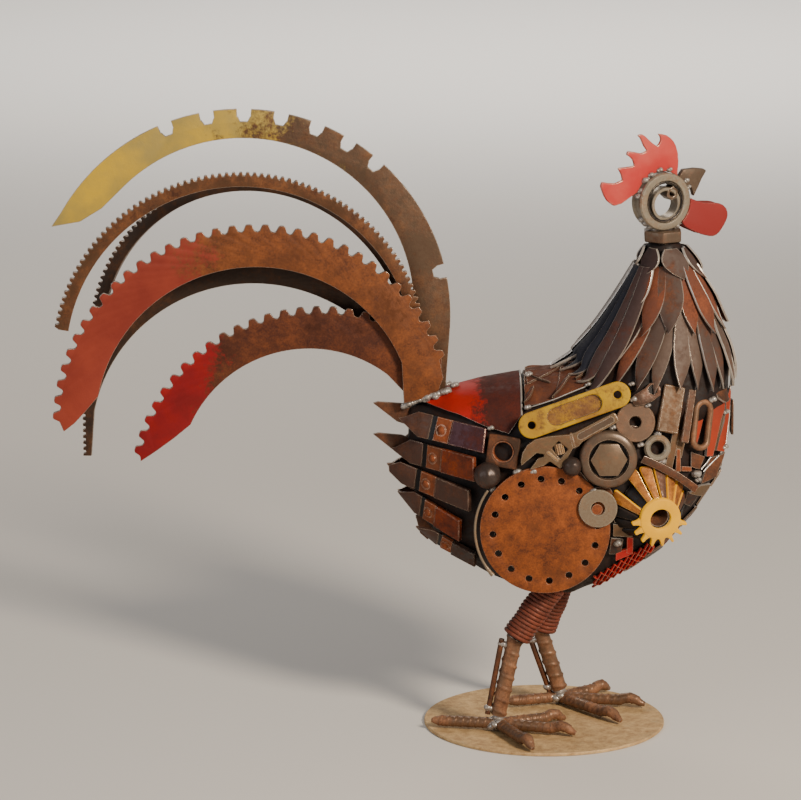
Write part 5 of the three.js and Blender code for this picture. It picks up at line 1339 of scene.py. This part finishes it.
def make_far_scrap():
    """The far flank is plainer: a few bars, nuts and washers. Bands of sheet close the front of the breast."""
    def put(name, form, x, z, stand, finish, spin=0.0, straight=0.3):
        finished(name, copy_of(form, MIRROR @ seat(x, z, stand, straight, spin)), [finish])
        form.free()
    put("far_washer", ring(23, 7, 5, 1.0), 52, 372, 7, WASHER_STEEL)
    put("far_nut", joined(ring(26, 15, 10, 2.0), moved(hexagon(14, 8), 0, 0, 1)), -36, 352, 6, NUT_STEEL)
    put("far_long_bar", block(120, 17, 6, 1.2), 28, 403, 6, GREY_BAR, 14, 0.6)
    put("far_short_bar", block(70, 15, 6, 1.2), 158, 384, 6, BROWN, 78, 0.1)
    put("far_red_bar", block(62, 12, 5, 1.2), 186, 384, 5, ORANGE_RED, 80, 0.0)
    put("far_strap", block(84, 12, 5, 1.2), 118, 270, 4, BROWN, 40, 0.1)
    put("far_chain", chain_link(), 168, 330, 6, BAR, 60, 0.0)
    # Bands down the front of the breast, each wrapped round the keel: where it starts and ends in X, and how far
    # it turns to the near and the far side. A plate covers the point.
    front = []
    bands = ((216, 206, -25, 65), (205, 193, -32, 62), (192, 177, -36, 60), (176, 158, -36, 58),
             (157, 138, -32, 56), (137, 116, -28, 50), (115, 92, -22, 44))
    for i, (front_x, back_x, near_turn, far_turn) in enumerate(bands):
        def rule(s, t, lift, low=1.4 + i % 2):
            return trunk_skin(blend(front_x, back_x, t), -90 - blend(near_turn, far_turn, s), low + lift)
        front.append(painted_faces(roughened(sheet(rule, 20, 5, 0, 2.2), 0.5, 9, 7), (0, 2, 3)[i % 3]))
    tip = slab([(-15, -20), (14, -22), (17, 18), (-12, 22)], 3, 0.9, segments=2)
    place(tip, shift(222, 0, 381) @ rotation(90, "Y") @ rotation(90, "Z"))
    front.append(tip)
    finished("breast_front_plates", joined(*front), [BROWN, TAIL_EDGE, SHEET_RUST, DARK], angle=30)


def make_mesh_strip():
    strands = []
    wires, steps = 4, 18
    for k in range(wires):
        path = []
        for i in range(steps + 1):
            share = i / steps
            x, z = blend(56, 126, share), blend(188, 234, share)
            off = blend(-8.4, 8.4, k / (wires - 1)) + (2.9 if (i % 2) ^ (k % 2) else -2.9)
            path.append(trunk_skin(x, trunk_angle(x, z + off), 2.6))
        strands.append(drawn(path, 1.7, 6))
    # A black backing under the wires, painted as the shade behind them
    backing = patch([(62, 184), (122, 224), (118, 238), (58, 198)], 0.3, 0.6, 8, 4)
    strip = joined(*strands, painted(backing, 1))
    finished("expanded_metal", strip, [MESH_RED, SHADE_BLACK], ["belly_mesh_strip"], 60)


def make_far_gear():
    teeth, radius = 14, 40
    tooth = ((0, 7), (0.08, 6), (0.2, 0.6), (0.27, 0), (0.5, 0), (0.57, 0.6), (0.7, 6), (0.78, 7))
    outline = []
    for i in range(teeth):
        for share, drop in tooth:
            outline += arc(0, 0, radius - drop, 360 * (i + share) / teeth, 0, 1)[:1]
    wheel = slab(outline, 9, 1.0, [circle(10, 24)], segments=2)
    hub = moved(ring(18, 10.4, 5, 1.0, 32), 0, 0, 3.4)
    where = MIRROR @ seat(108, 330, 5.4)
    form = joined(wheel, hub)
    finished("far_wheel", copy_of(form, where), [BROWN], ["far_gear_wheel"])
    form.free()


# Head: drawn facing +X in its own frame, then turned to the bird's left
HEAD_X = 138
HEAD_TURN = shift(HEAD_X, 0, 0) @ rotation(28, "Z")


def head_frame(y=0.0):
    return HEAD_TURN @ shift(0, y, 0) @ rotation(90, "X")


def make_head():
    x, z = -5, 642.4
    centre = shift(x, z, 0)
    outer = turned([(25, -10), (26, -11.4), (29, -12), (33, -11.4), (34.5, -9.6), (34.5, -7), (33.4, -5.6),
                    (33.4, 5.6), (34.5, 7), (34.5, 9.6), (33, 11.4), (29, 12), (26, 11.4), (25, 10),
                    (25, -10)], 72)
    # The inner race is painted black as the shade inside the bearing
    race = turned([(21.6, -9), (24.6, -10), (24.6, 10), (23.6, 10.6), (21.6, 9.4), (21.6, -9)], 64)
    bearing = place(joined(outer, painted(race, 1)), head_frame() @ centre)
    finished("eye_bearing", bearing, [GREY, SHADE_BLACK], ["eye_ring"])
    tube = turned([(16, -8.5), (19, -8.5), (20, -7.5), (20, 7.6), (19.2, 8.5), (17, 8.5), (16, 7.6),
                   (16, -8.5)], 56)
    moved(tube, x + 2.7, z - 3.4, 0)
    pupil = moved(slab(circle(8.5, 6, turn=20), 17, 1.0, [circle(4, 18)], segments=2), x + 11, z + 9, 0)
    # A black plug in the nut's hole, painted as shade
    plug = moved(turned([(0, -6), (4.4, -6), (4.4, 0), (0, 0)], 18), x + 11, z + 9, 0)
    finished("eye_tube_and_nut", place(joined(tube, painted(pupil, 1), painted(plug, 2)), head_frame()),
             [GREY, NUT_STEEL, SHADE_BLACK], ["eye_tube"])
    # Comb, beak and wattles end on the bearing's rim
    rim = 35.1
    comb = [(18, 688), (17, 698), (14, 707), (10.5, 713), (6, 717), (1, 720.4), (-5, 722), (-11, 723),
            (-8.4, 720), (-7, 717), (-7.6, 713.6), (-9, 711), (-12, 708), (-18, 712), (-24, 717), (-29, 721.6),
            (-34, 724), (-39, 723), (-35, 719), (-33, 715), (-30, 709), (-26, 704), (-30, 702), (-34, 701),
            (-42, 703), (-52, 705), (-54, 701), (-49.4, 698), (-46, 695), (-44, 691), (-43, 687), (-53, 686),
            (-63, 686), (-66, 685), (-63, 682), (-61, 678), (-60, 675), (-59, 671), (-69, 668), (-78, 669),
            (-87, 671), (-89, 666), (-87, 661), (-84, 654), (-80, 648), (-75, 644), (-70, 641), (-60, 643)]
    comb = slab(comb + arc(x, z, rim, 158, 52, 24), 4, 1.3, segments=3)
    finished("red_comb", place(comb, head_frame()), [COMB_RED], ["comb"])
    beak = [(34, 660), (39, 645), (44, 654), (49, 664), (56, 674.4), (52, 677), (40, 678.6), (24, 678)]
    beak = slab(beak + arc(x, z, rim, 50, 14, 10), 7, 1.6, segments=3)
    finished("bolt_beak", place(beak, head_frame()), [NUT_STEEL], ["beak"])
    wattle = [(20, 614), (25, 609.4), (31, 606), (39, 602.4), (47, 599), (58, 596), (63.4, 595.6), (68, 597),
              (72.6, 600.6), (76, 605), (79.6, 610), (82, 615), (83.2, 619), (83, 623), (81, 628), (77, 632),
              (71.4, 634.6), (65, 636), (57, 636.6), (50, 637), (41, 639.6), (33, 643)]
    # The far wattle takes a darker copy of the red, painted shade
    for name, side, node_name in (("near_red_wattle", -8, "near_wattle"), ("far_red_wattle", 8, "far_wattle")):
        form = slab(wattle + arc(x, z, rim, 3, -46, 14), 4, 1.4, segments=3)
        finished(name, place(form, head_frame(side)), [WATTLE_RED if side < 0 else WATTLE_SHADE], [node_name])
    collar = place(slab(circle(25, 6), 13.2, 1.6, segments=3), HEAD_TURN @ shift(-2, 0, 600.9))
    # A black disc under the collar nut, painted as the shade beneath it
    neck = turned([(0, 592), (17, 592), (15, 596), (0, 596)], 32)
    nut = joined(collar, painted(moved(neck, HEAD_X, 0, 0), 1))
    finished("collar_nut_piece", nut, [NUT_STEEL, SHADE_BLACK], ["collar_nut"])
    drops = []
    for px, pz, reach in ((-33, 622, 4.2), (-28, 617, 4.6), (-22, 612, 4.2), (-14, 609, 4.2), (14, 610, 4.2),
                          (20, 615, 3.6), (-38, 650, 3.4), (-36, 656, 3.6), (-30, 668, 3.6), (-22, 674, 3.4),
                          (-10, 679, 3.2), (4, 678.5, 3.2), (27, 664, 3.4), (30, 656, 3.2), (31, 640, 3.2),
                          (29, 632, 3.4), (26, 626, 3.2)):
        spot = head_frame() @ Vector((px, pz, 2))
        drops.append(weld([spot, spot + Vector((2, -1, 1.4))], reach, int(px + pz)))
    finished("head_welds", joined(*drops), [WELD_METAL], angle=60)


make_base()
make_foot("near_foot_bars", NEAR_FOOT, NEAR_TOES, "near_foot")
make_foot("far_foot_bars", FAR_FOOT, FAR_TOES, "far_foot")
make_leg("near", NEAR_FOOT, NEAR_KNEE, NEAR_HIP, ["near_shank", "near_thigh_spring"])
make_leg("far", FAR_FOOT, FAR_KNEE, FAR_HIP, ["far_shank", "far_thigh_spring"])
make_sickle()
make_gears()
make_blades()
make_body()
make_saddle()
make_cape()
make_discs()
make_flank()
make_mesh_strip()
make_far_gear()
make_head()
make_breast()
make_shoulder()
make_weld_drops()
make_far_scrap()


# Floor, light and camera
def make_stage():
    floor = bmesh.new()
    bmesh.ops.create_grid(floor, x_segments=1, y_segments=1, size=12)
    mesh = bpy.data.meshes.new("floor")
    floor.to_mesh(mesh)
    floor.free()
    pale = bpy.data.materials.new("pale_floor")
    pale.use_nodes = True
    shader = pale.node_tree.nodes["Principled BSDF"]
    shader.inputs["Base Color"].default_value = rgb(.62, .59, .55)
    shader.inputs["Roughness"].default_value = 0.9
    mesh.materials.append(pale)
    ground = bpy.data.objects.new("floor", mesh)
    bpy.context.scene.collection.objects.link(ground)
    world = bpy.data.worlds.new("studio")
    bpy.context.scene.world = world
    world.use_nodes = True
    world.node_tree.nodes["Background"].inputs[0].default_value = (.86, .86, .88, 1)
    world.node_tree.nodes["Background"].inputs[1].default_value = 0.34
    for name, spot, size, power, colour in (
            ("key", (2.0, -2.5, 2.1), 0.8, 200, (1, .87, .70)),
            ("fill", (-2.6, -2.2, 1.4), 2.2, 24, (.92, .95, 1)),
            ("rim", (-0.8, 2.8, 2.4), 1.6, 30, (1, .9, .78)),
            ("floor wash", (0.5, 6.5, 3.6), 5.0, 420, (1, .97, .93))):
        lamp = bpy.data.lights.new(name, "AREA")
        lamp.shape = "DISK"
        lamp.size = size
        lamp.energy = power
        lamp.color = colour
        light = bpy.data.objects.new(name, lamp)
        light.location = spot
        light.visible_glossy = name != "floor wash"
        aim = (0.2, 9.0, 0) if name == "floor wash" else (-0.1, 0, 0.4)
        way = Vector(aim) - Vector(spot)
        light.rotation_euler = way.to_track_quat("-Z", "Y").to_euler()
        bpy.context.scene.collection.objects.link(light)


def make_camera():
    lens = bpy.data.cameras.new("camera")
    lens.lens = 180
    lens.sensor_width = 36
    lens.clip_end = 50
    camera = bpy.data.objects.new("camera", lens)
    camera.location = (-0.17485, -4.6891, 1.4099)
    camera.rotation_euler = (math.radians(90 - 12.15), 0, 0)
    bpy.context.scene.collection.objects.link(camera)
    bpy.context.scene.camera = camera


make_stage()
make_camera()
